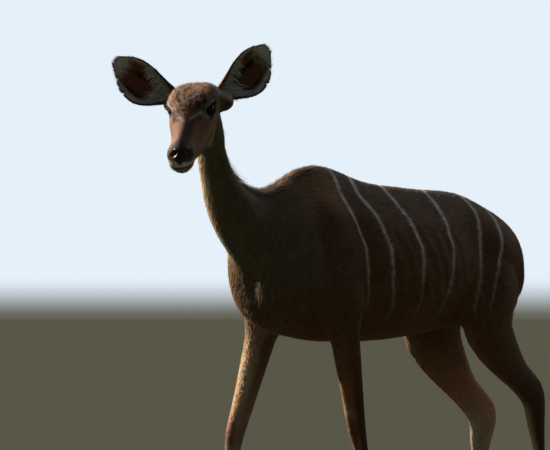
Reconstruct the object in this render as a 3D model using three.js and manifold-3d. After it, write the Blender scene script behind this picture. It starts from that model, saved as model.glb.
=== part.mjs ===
// A greater kudu cow in mid stride, life size, with its head turned to its left.
// Millimetres: +X is the animal's left, -Y the way it walks, +Z up. The floor is at z = 0.
// The flesh is modelled whole, from lofts along the back, neck, head, legs and tail, and is then
// parted at the joints by thin cuts. Eyes, hoof claws and dewclaws are pieces of their own.
import * as THREE from "three";
import { mergeVertices } from "three/addons/utils/BufferGeometryUtils.js";
import Module from "manifold-3d";

const wasm = await Module();
wasm.setup();

// Driving dimensions of a grown cow, and of its pose
const GAP = 0.4; // between pieces that touch
const HEAD_TURN = 33; // degrees that the head is turned to the left of the body
const HEAD_PITCH = 31; // degrees that the line of the skull falls from level
const HEAD_ROLL = 2.5; // degrees that its left side is raised
const NECK_TURN = 12; // degrees that the neck itself bends to the left
const NECK_BASE_Y = -540; // where the neck starts to bend
const NECK_RUN = 300; // how far ahead of there the bend is complete
const EAR_LENGTH = 219;
const EAR_WALL = 5.5;
const EYE_RADIUS = 18;
const FAR = 900; // past the animal, for the blocks that cut it
const UPRIGHT = new THREE.Quaternion();

const radians = (degrees) => (degrees * Math.PI) / 180;
const turned = (x, y, z, order = "ZXY") =>
  new THREE.Quaternion().setFromEuler(new THREE.Euler(radians(x), radians(y), radians(z), order));
const mirrored = (side, [x, y, z]) => new THREE.Vector3(side * x, y, z);

// Solids from closed three.js geometry, and back

function solidOf(geometry) {
  const bare = geometry.clone();
  bare.deleteAttribute("normal");
  bare.deleteAttribute("uv");
  const merged = mergeVertices(bare, 1e-3);
  return new wasm.Manifold(
    new wasm.Mesh({
      numProp: 3,
      vertProperties: merged.attributes.position.array,
      triVerts: new Uint32Array(merged.index.array),
    }),
  );
}

function geometryOf(solid) {
  const { numVert, numProp, vertProperties, triVerts } = solid.getMesh();
  const points = new Float32Array(numVert * 3);
  for (let i = 0; i < numVert; i++) {
    points.set(vertProperties.subarray(i * numProp, i * numProp + 3), i * 3);
  }
  const geometry = new THREE.BufferGeometry();
  geometry.setAttribute("position", new THREE.BufferAttribute(points, 3));
  geometry.setIndex(new THREE.BufferAttribute(triVerts, 1));
  return geometry.toNonIndexed();
}

// A solid from points and triangles, turned right side out where they wind the other way
function outward(points, triangles) {
  const geometry = new THREE.BufferGeometry().setFromPoints(points);
  geometry.setIndex(triangles.flat());
  const solid = solidOf(geometry);
  if (solid.volume() > 0) return solid;
  geometry.setIndex(triangles.flatMap(([a, b, c]) => [a, c, b]));
  return solidOf(geometry);
}

// A solid whose surface runs over rings of equal length, closed by a fan at each end
function solidOver(rings) {
  const sides = rings[0].length;
  const points = rings.flat();
  const triangles = [];
  for (let r = 0; r + 1 < rings.length; r++) {
    for (let k = 0; k < sides; k++) {
      const [a, b] = [r * sides + k, r * sides + ((k + 1) % sides)];
      triangles.push([a, b, a + sides], [b, b + sides, a + sides]);
    }
  }
  for (const r of [0, rings.length - 1]) {
    const middle = new THREE.Vector3();
    rings[r].forEach((point) => middle.addScaledVector(point, 1 / sides));
    points.push(middle);
    for (let k = 0; k < sides; k++) {
      const [a, b] = [r * sides + k, r * sides + ((k + 1) % sides)];
      triangles.push(r ? [a, b, points.length - 1] : [b, a, points.length - 1]);
    }
  }
  return outward(points, triangles);
}

// A loft through stations. Each is spanned between a point of its upper or front profile and one of
// its lower or rear profile, both [y, z]. half is half its width at its widest, level is how far up
// the span that is, x shifts it sideways, and upper and lower are the powers of its two halves:
// 2 is an ellipse, less is a ridge, more is squarer. place moves every point to where it belongs.
function loft(stations, { sides = 12, steps = 2, place = (point) => point } = {}) {
  const through = (pick) =>
    new THREE.CatmullRomCurve3(stations.map((s) => new THREE.Vector3(...pick(s))), false, "catmullrom");
  const tops = through((s) => [s.x ?? 0, ...s.top]);
  const bottoms = through((s) => [s.x ?? 0, ...s.bottom]);
  const widths = through((s) => [s.half, s.level ?? 0.5, 0]);
  const powers = through((s) => [s.upper ?? 2, s.lower ?? 2, 0]);
  const count = (stations.length - 1) * steps;
  const rings = [];
  for (let i = 0; i <= count; i++) {
    const [top, bottom] = [tops.getPoint(i / count), bottoms.getPoint(i / count)];
    const { x: half, y: level } = widths.getPoint(i / count);
    const { x: upper, y: lower } = powers.getPoint(i / count);
    const centre = bottom.clone().lerp(top, level);
    const up = top.clone().sub(bottom).normalize();
    const ring = [];
    for (let k = 0; k < sides; k++) {
      const angle = (2 * Math.PI * k) / sides;
      const [c, s] = [Math.cos(angle), Math.sin(angle)];
      const power = 2 / (s >= 0 ? upper : lower);
      const reach = (s >= 0 ? top : bottom).distanceTo(centre);
      const point = centre.clone().addScaledVector(up, reach * Math.sign(s) * Math.abs(s) ** power);
      point.x += half * Math.sign(c) * Math.abs(c) ** power;
      ring.push(place(point));
    }
    rings.push(ring);
  }
  return solidOver(rings);
}

function ellipsoid(centre, radii, { turn = new THREE.Quaternion(), fine = 12, grow = 0 } = {}) {
  const ball = new THREE.SphereGeometry(1, fine, fine / 2);
  ball.scale(...radii.map((r) => r + grow));
  ball.applyQuaternion(turn);
  ball.translate(centre.x, centre.y, centre.z);
  return solidOf(ball);
}

// A box over ranges of its own x, y and z, turned about a point: what it holds is one part
function block(centre, turn, x, y, z, grow = 0) {
  const ranges = [x, y, z].map(([low, high]) => [low - grow, high + grow]);
  const box = new THREE.BoxGeometry(...ranges.map(([low, high]) => high - low));
  box.translate(...ranges.map(([low, high]) => (low + high) / 2));
  box.applyQuaternion(turn);
  box.translate(centre.x, centre.y, centre.z);
  return solidOf(box);
}

// Trunk and neck, from the buttocks to the back of the head. The ridge along the withers and nape
// stands as high as the crest of hair there.

const TORSO = [
  { top: [578, 985], bottom: [580, 930], half: 36 },
  { top: [564, 1050], bottom: [570, 868], half: 82 },
  { top: [520, 1100], bottom: [526, 806], half: 116, level: 0.55 },
  { top: [440, 1142], bottom: [438, 768], half: 142, level: 0.6, upper: 1.75 },
  { top: [330, 1171], bottom: [325, 754], half: 158, level: 0.6, upper: 1.7 },
  { top: [215, 1183], bottom: [212, 742], half: 174, level: 0.52, upper: 1.7 },
  { top: [95, 1187], bottom: [95, 726], half: 190, level: 0.46, upper: 1.7, lower: 2.1 },
  { top: [-30, 1193], bottom: [-28, 714], half: 194, level: 0.44, upper: 1.65, lower: 2.1 },
  { top: [-150, 1208], bottom: [-140, 708], half: 182, level: 0.43, upper: 1.55, lower: 2.1 },
  { top: [-262, 1238], bottom: [-245, 708], half: 163, level: 0.42, upper: 1.45 },
  { top: [-356, 1250], bottom: [-345, 710], half: 150, level: 0.42, upper: 1.4 },
  { top: [-446, 1232], bottom: [-444, 722], half: 140, level: 0.43, upper: 1.45 },
  { top: [-522, 1194], bottom: [-592, 757], half: 134, level: 0.44, upper: 1.6 },
  { top: [-592, 1174], bottom: [-640, 830], half: 108, level: 0.42, upper: 1.7 },
  { top: [-658, 1182], bottom: [-642, 914], half: 82, level: 0.46, upper: 1.75 },
  { top: [-716, 1204], bottom: [-728, 1000], half: 74, upper: 1.8 },
  { top: [-756, 1238], bottom: [-796, 1082], half: 62, upper: 1.85 },
  { top: [-786, 1280], bottom: [-831, 1160], half: 54 },
  { top: [-803, 1334], bottom: [-860, 1236], half: 50 },
  { top: [-816, 1392], bottom: [-884, 1304], half: 48 },
  { top: [-842, 1446], bottom: [-908, 1360], half: 47 },
  { top: [-872, 1474], bottom: [-925, 1404], half: 36 },
];

// What lies ahead of the neck's base is laid along an arc of growing heading, to the left.
function headingAt(y) {
  const share = THREE.MathUtils.clamp((NECK_BASE_Y - y) / NECK_RUN, 0, 1);
  return radians(NECK_TURN) * share * share * (3 - 2 * share);
}

function alongNeck(point) {
  const pieces = 24;
  const run = Math.max(0, NECK_BASE_Y - point.y);
  const spine = new THREE.Vector3(0, Math.max(point.y, NECK_BASE_Y), point.z);
  for (let i = 0; i < pieces; i++) {
    const heading = headingAt(NECK_BASE_Y - (run * (i + 0.5)) / pieces);
    spine.x += (Math.sin(heading) * run) / pieces;
    spine.y -= (Math.cos(heading) * run) / pieces;
  }
  const heading = headingAt(point.y);
  spine.x += point.x * Math.cos(heading);
  spine.y += point.x * Math.sin(heading);
  return spine;
}

const torso = loft(TORSO, { sides: 18, place: alongNeck });

// Head, in its own frame: the back of the skull at the origin, -Y towards the nose, +Z to the brow

const HEAD_SEAT = alongNeck(new THREE.Vector3(0, -884, 1444));
const headTurn = turned(HEAD_PITCH, -HEAD_ROLL, HEAD_TURN);
const onHead = (point) => point.clone().applyQuaternion(headTurn).add(HEAD_SEAT);

const SKULL = [
  { top: [12, 14], bottom: [4, -50], half: 40 },
  { top: [-10, 42], bottom: [-18, -78], half: 61, level: 0.58, upper: 2.8 },
  { top: [-46, 60], bottom: [-50, -104], half: 68, level: 0.66, upper: 3, lower: 1.4 },
  { top: [-88, 69], bottom: [-86, -116], half: 72, level: 0.68, upper: 3, lower: 1.35 },
  { top: [-128, 69], bottom: [-124, -114], half: 68, level: 0.7, upper: 2.9, lower: 1.35 },
  { top: [-166, 58], bottom: [-162, -104], half: 61, level: 0.64, upper: 2.4, lower: 1.5 },
  { top: [-204, 49], bottom: [-200, -94], half: 52, level: 0.55, upper: 2.1, lower: 1.7 },
  { top: [-244, 41], bottom: [-240, -84], half: 44, level: 0.48, upper: 2.1 },
  { top: [-284, 34], bottom: [-280, -76], half: 38, level: 0.45, upper: 2.2 },
  { top: [-318, 28], bottom: [-312, -72], half: 37, level: 0.46, upper: 2.3 },
  { top: [-346, 20], bottom: [-338, -73], half: 37, upper: 2.4 },
  { top: [-366, 7], bottom: [-356, -68], half: 30, upper: 2.3 },
  { top: [-375, -8], bottom: [-370, -46], half: 17 },
];

const EYE = [50, -134, 26];
const EYE_LOOK = [0.75, -0.65, 0.12];
const LID_OPENING = [9, 17, 12]; // half sizes: along the look, fore and aft, up and down
const BROW = { at: [47, -128, 33], radii: [25, 36, 26] };
const NOSTRIL = { at: [22, -370, 4], radii: [8, 14, 9] };

const eyeball = (side, grow = 0) =>
  ellipsoid(onHead(mirrored(side, EYE)), Array(3).fill(EYE_RADIUS), { fine: 12, grow });

function lidOpening(side) {
  const look = mirrored(side, EYE_LOOK).normalize();
  const centre = mirrored(side, EYE).addScaledVector(look, EYE_RADIUS + LID_OPENING[0] / 2);
  const outwards = new THREE.Vector3(side, 0, 0);
  const turn = headTurn.clone().multiply(new THREE.Quaternion().setFromUnitVectors(outwards, look));
  return ellipsoid(onHead(centre), LID_OPENING, { turn });
}

function headSolid() {
  let head = loft(SKULL, { sides: 16, place: onHead });
  for (const side of [1, -1]) {
    head = head.add(ellipsoid(onHead(mirrored(side, BROW.at)), BROW.radii, { turn: headTurn }));
  }
  for (const side of [1, -1]) {
    const nostril = ellipsoid(onHead(mirrored(side, NOSTRIL.at)), NOSTRIL.radii, { turn: headTurn });
    head = head.subtract(nostril).subtract(eyeball(side, GAP)).subtract(lidOpening(side));
  }
  return head;
}

// Ears: a cupped leaf on a stout root. out, ahead and up give its lie, and opens how far its mouth
// is turned outwards. Of the leaf, front is the half-width on the edge next to the brow, rear that
// of the other edge, depth the hollow of the cup and wrap how far round it the edges come.

const EARS = {
  left_ear: { side: 1, out: 0.582, ahead: -0.5, up: 0.657, opens: 22 },
  right_ear: { side: -1, out: 0.857, ahead: -0.05, up: 0.574, opens: -6 },
};
const EAR_ROOT = [67, -36, 14];
const EAR_ROOT_RADII = [34, 27, 42];
const EAR_ROOT_BACK = 13; // how far the root stands behind the leaf's line
const EAR_ROOT_ASIDE = 12; // and towards its rear edge
const EAR_START = 18; // how far along the ear the leaf starts
const EAR_LEAF = [
  { front: 22, rear: 25, depth: 34, wrap: 118 },
  { front: 27, rear: 48, depth: 42, wrap: 98 },
  { front: 34, rear: 69, depth: 42, wrap: 84 },
  { front: 41, rear: 79, depth: 38, wrap: 76 },
  { front: 44, rear: 77, depth: 32, wrap: 72 },
  { front: 42, rear: 67, depth: 25, wrap: 68 },
  { front: 35, rear: 49, depth: 17, wrap: 64 },
  { front: 20, rear: 22, depth: 8, wrap: 60 },
];
const EAR_SPANS = 9;
const EAR_COLUMNS = 10;

function earFrame({ side, out, ahead, up, opens }) {
  const axis = new THREE.Vector3(side * out, -ahead, up).normalize();
  axis.applyQuaternion(turned(0, -HEAD_ROLL, HEAD_TURN));
  const mouth = new THREE.Vector3(0, -1, 0).applyQuaternion(turned(0, 0, HEAD_TURN + side * opens));
  mouth.addScaledVector(axis, -mouth.dot(axis)).normalize();
  const edge = axis.clone().cross(mouth).multiplyScalar(side);
  const turn = new THREE.Quaternion().setFromRotationMatrix(
    new THREE.Matrix4().makeBasis(mouth.clone().cross(axis), mouth, axis),
  );
  return { axis, mouth, edge, turn, root: onHead(mirrored(side, EAR_ROOT)) };
}

function earSolid(ear) {
  const { axis, mouth, edge, turn, root } = earFrame(ear);
  const sizes = new THREE.CatmullRomCurve3(EAR_LEAF.map((s) => new THREE.Vector3(s.front, s.rear, s.depth)));
  const wraps = new THREE.CatmullRomCurve3(EAR_LEAF.map((s) => new THREE.Vector3(s.wrap, 0, 0)));
  const points = [];
  for (let i = 0; i <= EAR_SPANS; i++) {
    const share = i / EAR_SPANS;
    const { x: front, y: rear, z: depth } = sizes.getPoint(share);
    const wrap = radians(wraps.getPoint(share).x);
    const along = EAR_START + (EAR_LENGTH - EAR_START) * share;
    for (const inset of [0, EAR_WALL * (1 - 0.5 * share)]) {
      for (let k = 0; k <= EAR_COLUMNS; k++) {
        const angle = wrap * ((2 * k) / EAR_COLUMNS - 1);
        const width = ((angle < 0 ? front : rear) - inset) / Math.sin(Math.min(wrap, Math.PI / 2));
        const sink = ((depth - inset) * (Math.cos(angle) - Math.cos(wrap))) / (1 - Math.cos(wrap));
        const point = root.clone().addScaledVector(axis, along);
        points.push(point.addScaledVector(edge, width * Math.sin(angle)).addScaledVector(mouth, -sink));
      }
    }
  }
  // Two walls, a row of each in turn, with a strip between them all the way round the edge
  const row = EAR_COLUMNS + 1;
  const corner = (i, wall, k) => (2 * i + wall) * row + k;
  const triangles = [];
  const quad = (a, b, c, d) => triangles.push([a, b, c], [a, c, d]);
  for (let i = 0; i < EAR_SPANS; i++) {
    for (let k = 0; k < EAR_COLUMNS; k++) {
      quad(corner(i, 0, k), corner(i, 0, k + 1), corner(i + 1, 0, k + 1), corner(i + 1, 0, k));
      quad(corner(i, 1, k + 1), corner(i, 1, k), corner(i + 1, 1, k), corner(i + 1, 1, k + 1));
    }
    quad(corner(i, 1, 0), corner(i, 0, 0), corner(i + 1, 0, 0), corner(i + 1, 1, 0));
    quad(corner(i, 0, row - 1), corner(i, 1, row - 1), corner(i + 1, 1, row - 1), corner(i + 1, 0, row - 1));
  }
  for (let k = 0; k < EAR_COLUMNS; k++) {
    quad(corner(0, 1, k), corner(0, 1, k + 1), corner(0, 0, k + 1), corner(0, 0, k));
    const tip = EAR_SPANS;
    quad(corner(tip, 0, k), corner(tip, 0, k + 1), corner(tip, 1, k + 1), corner(tip, 1, k));
  }
  const stump = root.clone().addScaledVector(mouth, -EAR_ROOT_BACK).addScaledVector(edge, EAR_ROOT_ASIDE);
  return outward(points, triangles).add(ellipsoid(stump, EAR_ROOT_RADII, { turn }));
}

// Legs. Each is built in its own upright plane and turned about its uppermost joint, by turn
// degrees, toes outwards. The joints are where they stand in the pose. at counts joints and the
// share of the way to the next. front and rear are how far the flesh reaches ahead of and behind
// the line of the bones, and half is half its width.

const FORELEG = [
  { at: 0, front: 62, rear: 70, half: 26 },
  { at: 0.35, front: 105, rear: 112, half: 54 },
  { at: 0.65, front: 108, rear: 98, half: 62 },
  { at: 0.88, front: 80, rear: 74, half: 56 },
  { at: 1.08, front: 58, rear: 50, half: 47 },
  { at: 1.4, front: 46, rear: 42, half: 41 },
  { at: 1.75, front: 38, rear: 35, half: 34 },
  { at: 2, front: 34, rear: 31, half: 29 },
  { at: 2.2, front: 24, rear: 26, half: 23 },
  { at: 2.45, front: 20, rear: 23, half: 18 },
  { at: 2.78, front: 19, rear: 22, half: 18 },
  { at: 2.98, front: 22, rear: 28, half: 23 },
  { at: 3.4, front: 20, rear: 22, half: 22 },
];
const HINDLEG = [
  { at: 0, front: 130, rear: 110, half: 38 },
  { at: 0.4, front: 180, rear: 145, half: 66 },
  { at: 0.8, front: 160, rear: 139, half: 68 },
  { at: 1.1, front: 143, rear: 84, half: 58 },
  { at: 1.4, front: 112, rear: 54, half: 44 },
  { at: 1.65, front: 78, rear: 44, half: 34 },
  { at: 1.88, front: 60, rear: 68, half: 29 },
  { at: 2.03, front: 59, rear: 56, half: 29 },
  { at: 2.25, front: 47, rear: 38, half: 24 },
  { at: 2.5, front: 26, rear: 26, half: 18 },
  { at: 2.8, front: 19, rear: 22, half: 18 },
  { at: 2.98, front: 22, rear: 28, half: 23 },
  { at: 3.4, front: 20, rear: 22, half: 22 },
];
const BEND = 0.25; // share of a bone over which the flesh turns at a joint
const LEGS = {
  left_foreleg: {
    side: 1,
    sections: FORELEG,
    turn: 3,
    joints: [[66, -400, 1080], [126, -352, 762], [102, -267, 443], [102, -181, 142]],
    toe: [-262, 0],
  },
  right_foreleg: {
    side: -1,
    sections: FORELEG,
    turn: 3,
    joints: [[-66, -430, 1080], [-124, -448, 745], [-92, -606, 427], [-92, -664, 126]],
    toe: [-766, 0],
  },
  left_hindleg: {
    side: 1,
    sections: HINDLEG,
    turn: 7,
    joints: [[82, 395, 1030], [128, 330, 790], [113, 585, 510], [108, 640, 180]],
    toe: [618, 68],
  },
  right_hindleg: {
    side: -1,
    sections: HINDLEG,
    turn: 12,
    joints: [[-82, 400, 1030], [-126, 365, 760], [-108, 591, 440], [-104, 538, 128]],
    toe: [439, 0],
  },
};

// A foot, in [y, z] from the tip of its toe, on the floor: the slant of the coronet from front to
// rear, and the claw's profile at levels down to the sole. half is half a claw's width.
const CORONET = { front: [34, 53], rear: [74, 38], half: 26 };
const CLAW = [
  { top: [34, 52.4], bottom: [74, 37.4], half: 12.3, level: 0.45 },
  { top: [19, 28], bottom: [73, 20], half: 13.4, level: 0.45, upper: 1.6 },
  { top: [0, 0], bottom: [68, 0], half: 13, level: 0.42, upper: 1.4 },
];
const CLAW_SPACING = 14.2; // from the foot's middle to a claw's
const TOE_WEAR = 3; // what the floor takes off the tip of a toe that stands on it
const DEWCLAW = { behind: 25, below: 24, apart: 15, radii: [9, 9, 15] };

function legPlace({ side, turn, joints }) {
  const pivot = new THREE.Vector3(...joints[0]);
  const about = turned(0, 0, side * turn);
  return (point) => point.clone().sub(pivot).applyQuaternion(about).add(pivot);
}

// The joints in the leg's own plane, before it is turned
function straightJoints({ side, turn, joints }) {
  const back = legPlace({ side, turn: -turn, joints });
  return joints.map((joint) => back(new THREE.Vector3(...joint)));
}

// From a foot's [y, z] to the leg's plane: the foot tips about its toe, which the floor has worn flat
function footPoint({ toe: [toeY, tip] }, [y, z]) {
  const point = new THREE.Vector2(y, z).rotateAround(new THREE.Vector2(0, 0), radians(tip));
  return [toeY + point.x, point.y - (tip ? TOE_WEAR : 0)];
}

function legSolid(leg) {
  const chain = straightJoints(leg).map((joint) => new THREE.Vector2(joint.y, joint.z));
  const front = footPoint(leg, CORONET.front);
  const rear = footPoint(leg, CORONET.rear);
  chain.push(new THREE.Vector2((front[0] + rear[0]) / 2, (front[1] + rear[1]) / 2));
  const across = straightJoints(leg).map((joint) => joint.x);
  across.push(across.at(-1));
  const bone = (i) => {
    const from = THREE.MathUtils.clamp(i, 0, chain.length - 2);
    return chain[from + 1].clone().sub(chain[from]).normalize();
  };
  const stations = leg.sections.map(({ at, front, rear, half }) => {
    const upper = Math.min(Math.floor(at), chain.length - 2);
    const centre = chain[upper].clone().lerp(chain[upper + 1], at - upper);
    const joint = Math.round(at);
    const share = 0.5 + 0.5 * THREE.MathUtils.clamp((at - joint) / BEND, -1, 1);
    const way = bone(joint - 1).lerp(bone(joint), share).normalize();
    const [aheadY, aheadZ] = [way.y, -way.x];
    return {
      top: [centre.x + aheadY * front, centre.y + aheadZ * front],
      bottom: [centre.x - aheadY * rear, centre.y - aheadZ * rear],
      half,
      x: THREE.MathUtils.lerp(across[upper], across[upper + 1], at - upper),
    };
  });
  stations.push({ top: front, bottom: rear, half: CORONET.half, x: across.at(-1) });
  let solid = loft(stations, { place: legPlace(leg) });
  for (const claw of [1, -1]) solid = solid.subtract(dewclawSolid(leg, claw, GAP));
  return solid;
}

function clawSolid(leg, claw) {
  const x = straightJoints(leg).at(-1).x + claw * CLAW_SPACING;
  const stations = CLAW.map((s) => ({
    ...s,
    top: footPoint(leg, s.top),
    bottom: footPoint(leg, s.bottom),
    x,
  }));
  const claws = loft(stations, { sides: 12, steps: 1, place: legPlace(leg) });
  if (!leg.toe[1]) return claws;
  return claws.subtract(block(new THREE.Vector3(), UPRIGHT, [-FAR, FAR], [-FAR, FAR], [-FAR, 0]));
}

function dewclawSolid(leg, claw, grow = 0) {
  const fetlock = straightJoints(leg).at(-1);
  const centre = fetlock.clone();
  centre.x += claw * DEWCLAW.apart;
  centre.y += DEWCLAW.behind;
  centre.z -= DEWCLAW.below;
  return ellipsoid(legPlace(leg)(centre), DEWCLAW.radii, { fine: 8, grow, turn: turned(30, 0, 0) });
}

// Tail, hanging close behind the buttocks, out to the ends of its brush

const TAIL = [
  { top: [545, 1078], bottom: [520, 1030], half: 20 },
  { top: [594, 1046], bottom: [570, 1006], half: 22 },
  { top: [622, 985], bottom: [597, 975], half: 22 },
  { top: [622, 900], bottom: [591, 898], half: 25 },
  { top: [606, 800], bottom: [564, 800], half: 29 },
  { top: [598, 710], bottom: [562, 710], half: 25 },
  { top: [588, 655], bottom: [576, 655], half: 8 },
];

// Everything together. A block parts a solid into what it holds and the rest.

function parted(solid, ...shape) {
  return [solid.intersect(block(...shape)), solid.subtract(block(...shape, GAP))];
}

const LEG_TOP = { foreleg: 720, hindleg: 736 }; // where the legs leave the body
const TAIL_TOP = 1000;
const EAR_BASE = 26; // along the ear, where it leaves its root
const NECK_CUT = { at: [0, -600, 1020], slant: -19, below: -215 };
const HEAD_CUT = { at: [0, 20, 20], slant: -31, below: -275 };

const pieces = {};
let root;
let flesh = torso.add(headSolid());
for (const [name, ear] of Object.entries(EARS)) {
  const { turn, root: seat } = earFrame(ear);
  [pieces[name], root] = parted(earSolid(ear), seat, turn, [-FAR, FAR], [-FAR, FAR], [EAR_BASE, FAR]);
  flesh = flesh.add(root);
}
for (const [name, leg] of Object.entries(LEGS)) {
  const top = LEG_TOP[name.split("_")[1]];
  const floor = new THREE.Vector3();
  [pieces[name], root] = parted(legSolid(leg), floor, UPRIGHT, [-FAR, FAR], [-FAR, FAR], [-FAR, top]);
  flesh = flesh.add(root);
}
const tailTop = new THREE.Vector3(0, 0, TAIL_TOP);
[pieces.tail, root] = parted(loft(TAIL), tailTop, UPRIGHT, [-FAR, FAR], [-FAR, FAR], [-FAR, 0]);
flesh = flesh.add(root);

const neckAt = new THREE.Vector3(...NECK_CUT.at);
const neckSlant = turned(NECK_CUT.slant, 0, 0);
const headAt = onHead(new THREE.Vector3(...HEAD_CUT.at));
const headSlant = headTurn.clone().multiply(turned(HEAD_CUT.slant, 0, 0));
let neckAndHead;
[neckAndHead, pieces.trunk] = parted(flesh, neckAt, neckSlant, [-FAR, FAR], [-FAR, 0], [NECK_CUT.below, FAR]);
[pieces.head, pieces.neck] = parted(
  neckAndHead,
  headAt,
  headSlant,
  [-FAR, FAR],
  [-FAR, 0],
  [HEAD_CUT.below, FAR],
);

const HIDE = new THREE.MeshStandardMaterial({ color: 0x6b5644, roughness: 0.9 });
const HORN = new THREE.MeshStandardMaterial({ color: 0x2a2522, roughness: 0.45 });
const WET_EYE = new THREE.MeshStandardMaterial({ color: 0x140d09, roughness: 0.1 });

const kudu = new THREE.Group();

function addPart(name, solid, material) {
  const mesh = new THREE.Mesh(geometryOf(solid), material);
  mesh.name = name;
  kudu.add(mesh);
}

for (const [name, solid] of Object.entries(pieces)) addPart(name, solid, HIDE);
for (const [name, side] of [["left_eye", 1], ["right_eye", -1]]) addPart(name, eyeball(side), WET_EYE);
for (const [name, leg] of Object.entries(LEGS)) {
  for (const [place, claw] of [["outer", leg.side], ["inner", -leg.side]]) {
    addPart(`${name}_${place}_claw`, clawSolid(leg, claw), HORN);
    addPart(`${name}_${place}_dewclaw`, dewclawSolid(leg, claw), HORN);
  }
}

// The origin is on the floor, under the middle of the whole animal's box.
const middle = new THREE.Box3().setFromObject(kudu, true).getCenter(new THREE.Vector3());
kudu.position.set(-middle.x, -middle.y, 0);

export default kudu;
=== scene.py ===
import bpy
import numpy as np
from math import radians
from mathutils import Matrix, Vector


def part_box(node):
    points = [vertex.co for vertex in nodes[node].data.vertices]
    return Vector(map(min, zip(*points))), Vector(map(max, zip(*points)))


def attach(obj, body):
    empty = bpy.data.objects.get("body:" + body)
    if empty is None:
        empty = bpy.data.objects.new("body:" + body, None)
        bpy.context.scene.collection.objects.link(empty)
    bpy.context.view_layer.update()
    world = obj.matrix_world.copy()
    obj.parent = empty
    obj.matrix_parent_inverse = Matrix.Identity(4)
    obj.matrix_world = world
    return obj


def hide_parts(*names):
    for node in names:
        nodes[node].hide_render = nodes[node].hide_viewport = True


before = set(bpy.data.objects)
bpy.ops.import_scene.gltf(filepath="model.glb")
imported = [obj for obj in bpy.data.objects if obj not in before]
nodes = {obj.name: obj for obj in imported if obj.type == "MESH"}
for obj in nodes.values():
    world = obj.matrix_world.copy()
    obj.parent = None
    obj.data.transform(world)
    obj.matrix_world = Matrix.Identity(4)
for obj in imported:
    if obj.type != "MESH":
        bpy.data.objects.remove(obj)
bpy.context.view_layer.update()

# The camera
# It stands 9 m off the withers, well round to the animal's left of its nose, at the height of its
# belly. The picture is 550 by 450, and its middle lies left of and above the withers' foot.
camera_place = Vector((6.119, -6.705, 0.9))
camera_round = 43.0 # degrees round from straight ahead of the animal
picture_width = 550
focal_pixels = 2934
sensor_width = 36.0
bpy.ops.object.select_all(action="DESELECT")
bpy.ops.object.camera_add(location=camera_place)
camera = bpy.context.object
camera.data.sensor_width = sensor_width
camera.data.lens = focal_pixels * sensor_width / picture_width
camera.rotation_euler = (radians(90 + 1.09), 0, radians(camera_round + 0.72))
bpy.context.scene.camera = camera

# The stage
# A dull grey-green floor that meets a pale sky in a soft haze. The sky is bright behind the animal and
# dim behind the camera, and a warm sun stands behind it, to the left of the picture.
bpy.ops.mesh.primitive_circle_add(vertices=96, radius=60, fill_type="NGON")
floor = bpy.context.object
floor.name = "floor"


def add_finish(name, **constants):
    """A material with these constants on its surface; _ stands for the blanks in a socket's name."""
    finish = bpy.data.materials.new(name)
    finish.use_nodes = True
    surface = finish.node_tree.nodes["Principled BSDF"]
    for socket, value in constants.items():
        surface.inputs[socket.replace("_", " ")].default_value = value
    return finish, finish.node_tree, surface


def add_node(tree, kind, **constants):
    node = tree.nodes.new("ShaderNode" + kind)
    for socket, value in constants.items():
        node.inputs[socket.replace("_", " ")].default_value = value
    return node


floor_paint, _, _ = add_finish(
    "dull_floor", Base_Color=(0.060, 0.062, 0.048, 1), Specular_IOR_Level=0.0, Roughness=0.9
)
floor.data.materials.append(floor_paint)

sky = bpy.data.worlds.new("sky")
sky.use_nodes = True
sky_way = Vector((-0.66, 0.71, 0.25)) # where it is brightest: behind the animal
tree = sky.node_tree
sky_place = add_node(tree, "TexCoord")
sky_side = add_node(tree, "VectorMath")
sky_side.operation = "DOT_PRODUCT"
sky_side.inputs[1].default_value = sky_way
tree.links.new(sky_place.outputs["Generated"], sky_side.inputs[0])
sky_light = add_node(tree, "MapRange", From_Min=0.1, From_Max=0.88, To_Min=0.074, To_Max=0.98)
sky_light.interpolation_type = "SMOOTHSTEP"
tree.links.new(sky_side.outputs["Value"], sky_light.inputs["Value"])
sky_height = add_node(tree, "SeparateXYZ")
tree.links.new(sky_place.outputs["Generated"], sky_height.inputs[0])
haze = add_node(tree, "MapRange", From_Min=-0.013, From_Max=0.002)
haze.interpolation_type = "SMOOTHSTEP"
tree.links.new(sky_height.outputs["Z"], haze.inputs["Value"])
sky_tone = add_node(tree, "Mix")
sky_tone.data_type = "RGBA"
sky_tone.inputs["A"].default_value = (0.125, 0.125, 0.095, 1)
sky_tone.inputs["B"].default_value = (0.80, 0.89, 0.97, 1)
tree.links.new(haze.outputs["Result"], sky_tone.inputs["Factor"])
tree.links.new(sky_tone.outputs["Result"], tree.nodes["Background"].inputs["Color"])
tree.links.new(sky_light.outputs["Result"], tree.nodes["Background"].inputs["Strength"])
bpy.context.scene.world = sky
bpy.context.scene.view_settings.view_transform = "Standard"

sun_from = Vector((-0.83, -0.22, 0.50)) # from behind, the picture's left and above
bpy.ops.object.light_add(type="SUN", rotation=sun_from.to_track_quat("Z", "Y").to_euler())
sun = bpy.context.object
sun.data.energy = 8.5
sun.data.angle = radians(4)
sun.data.color = (1.0, 0.89, 0.74)

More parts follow.
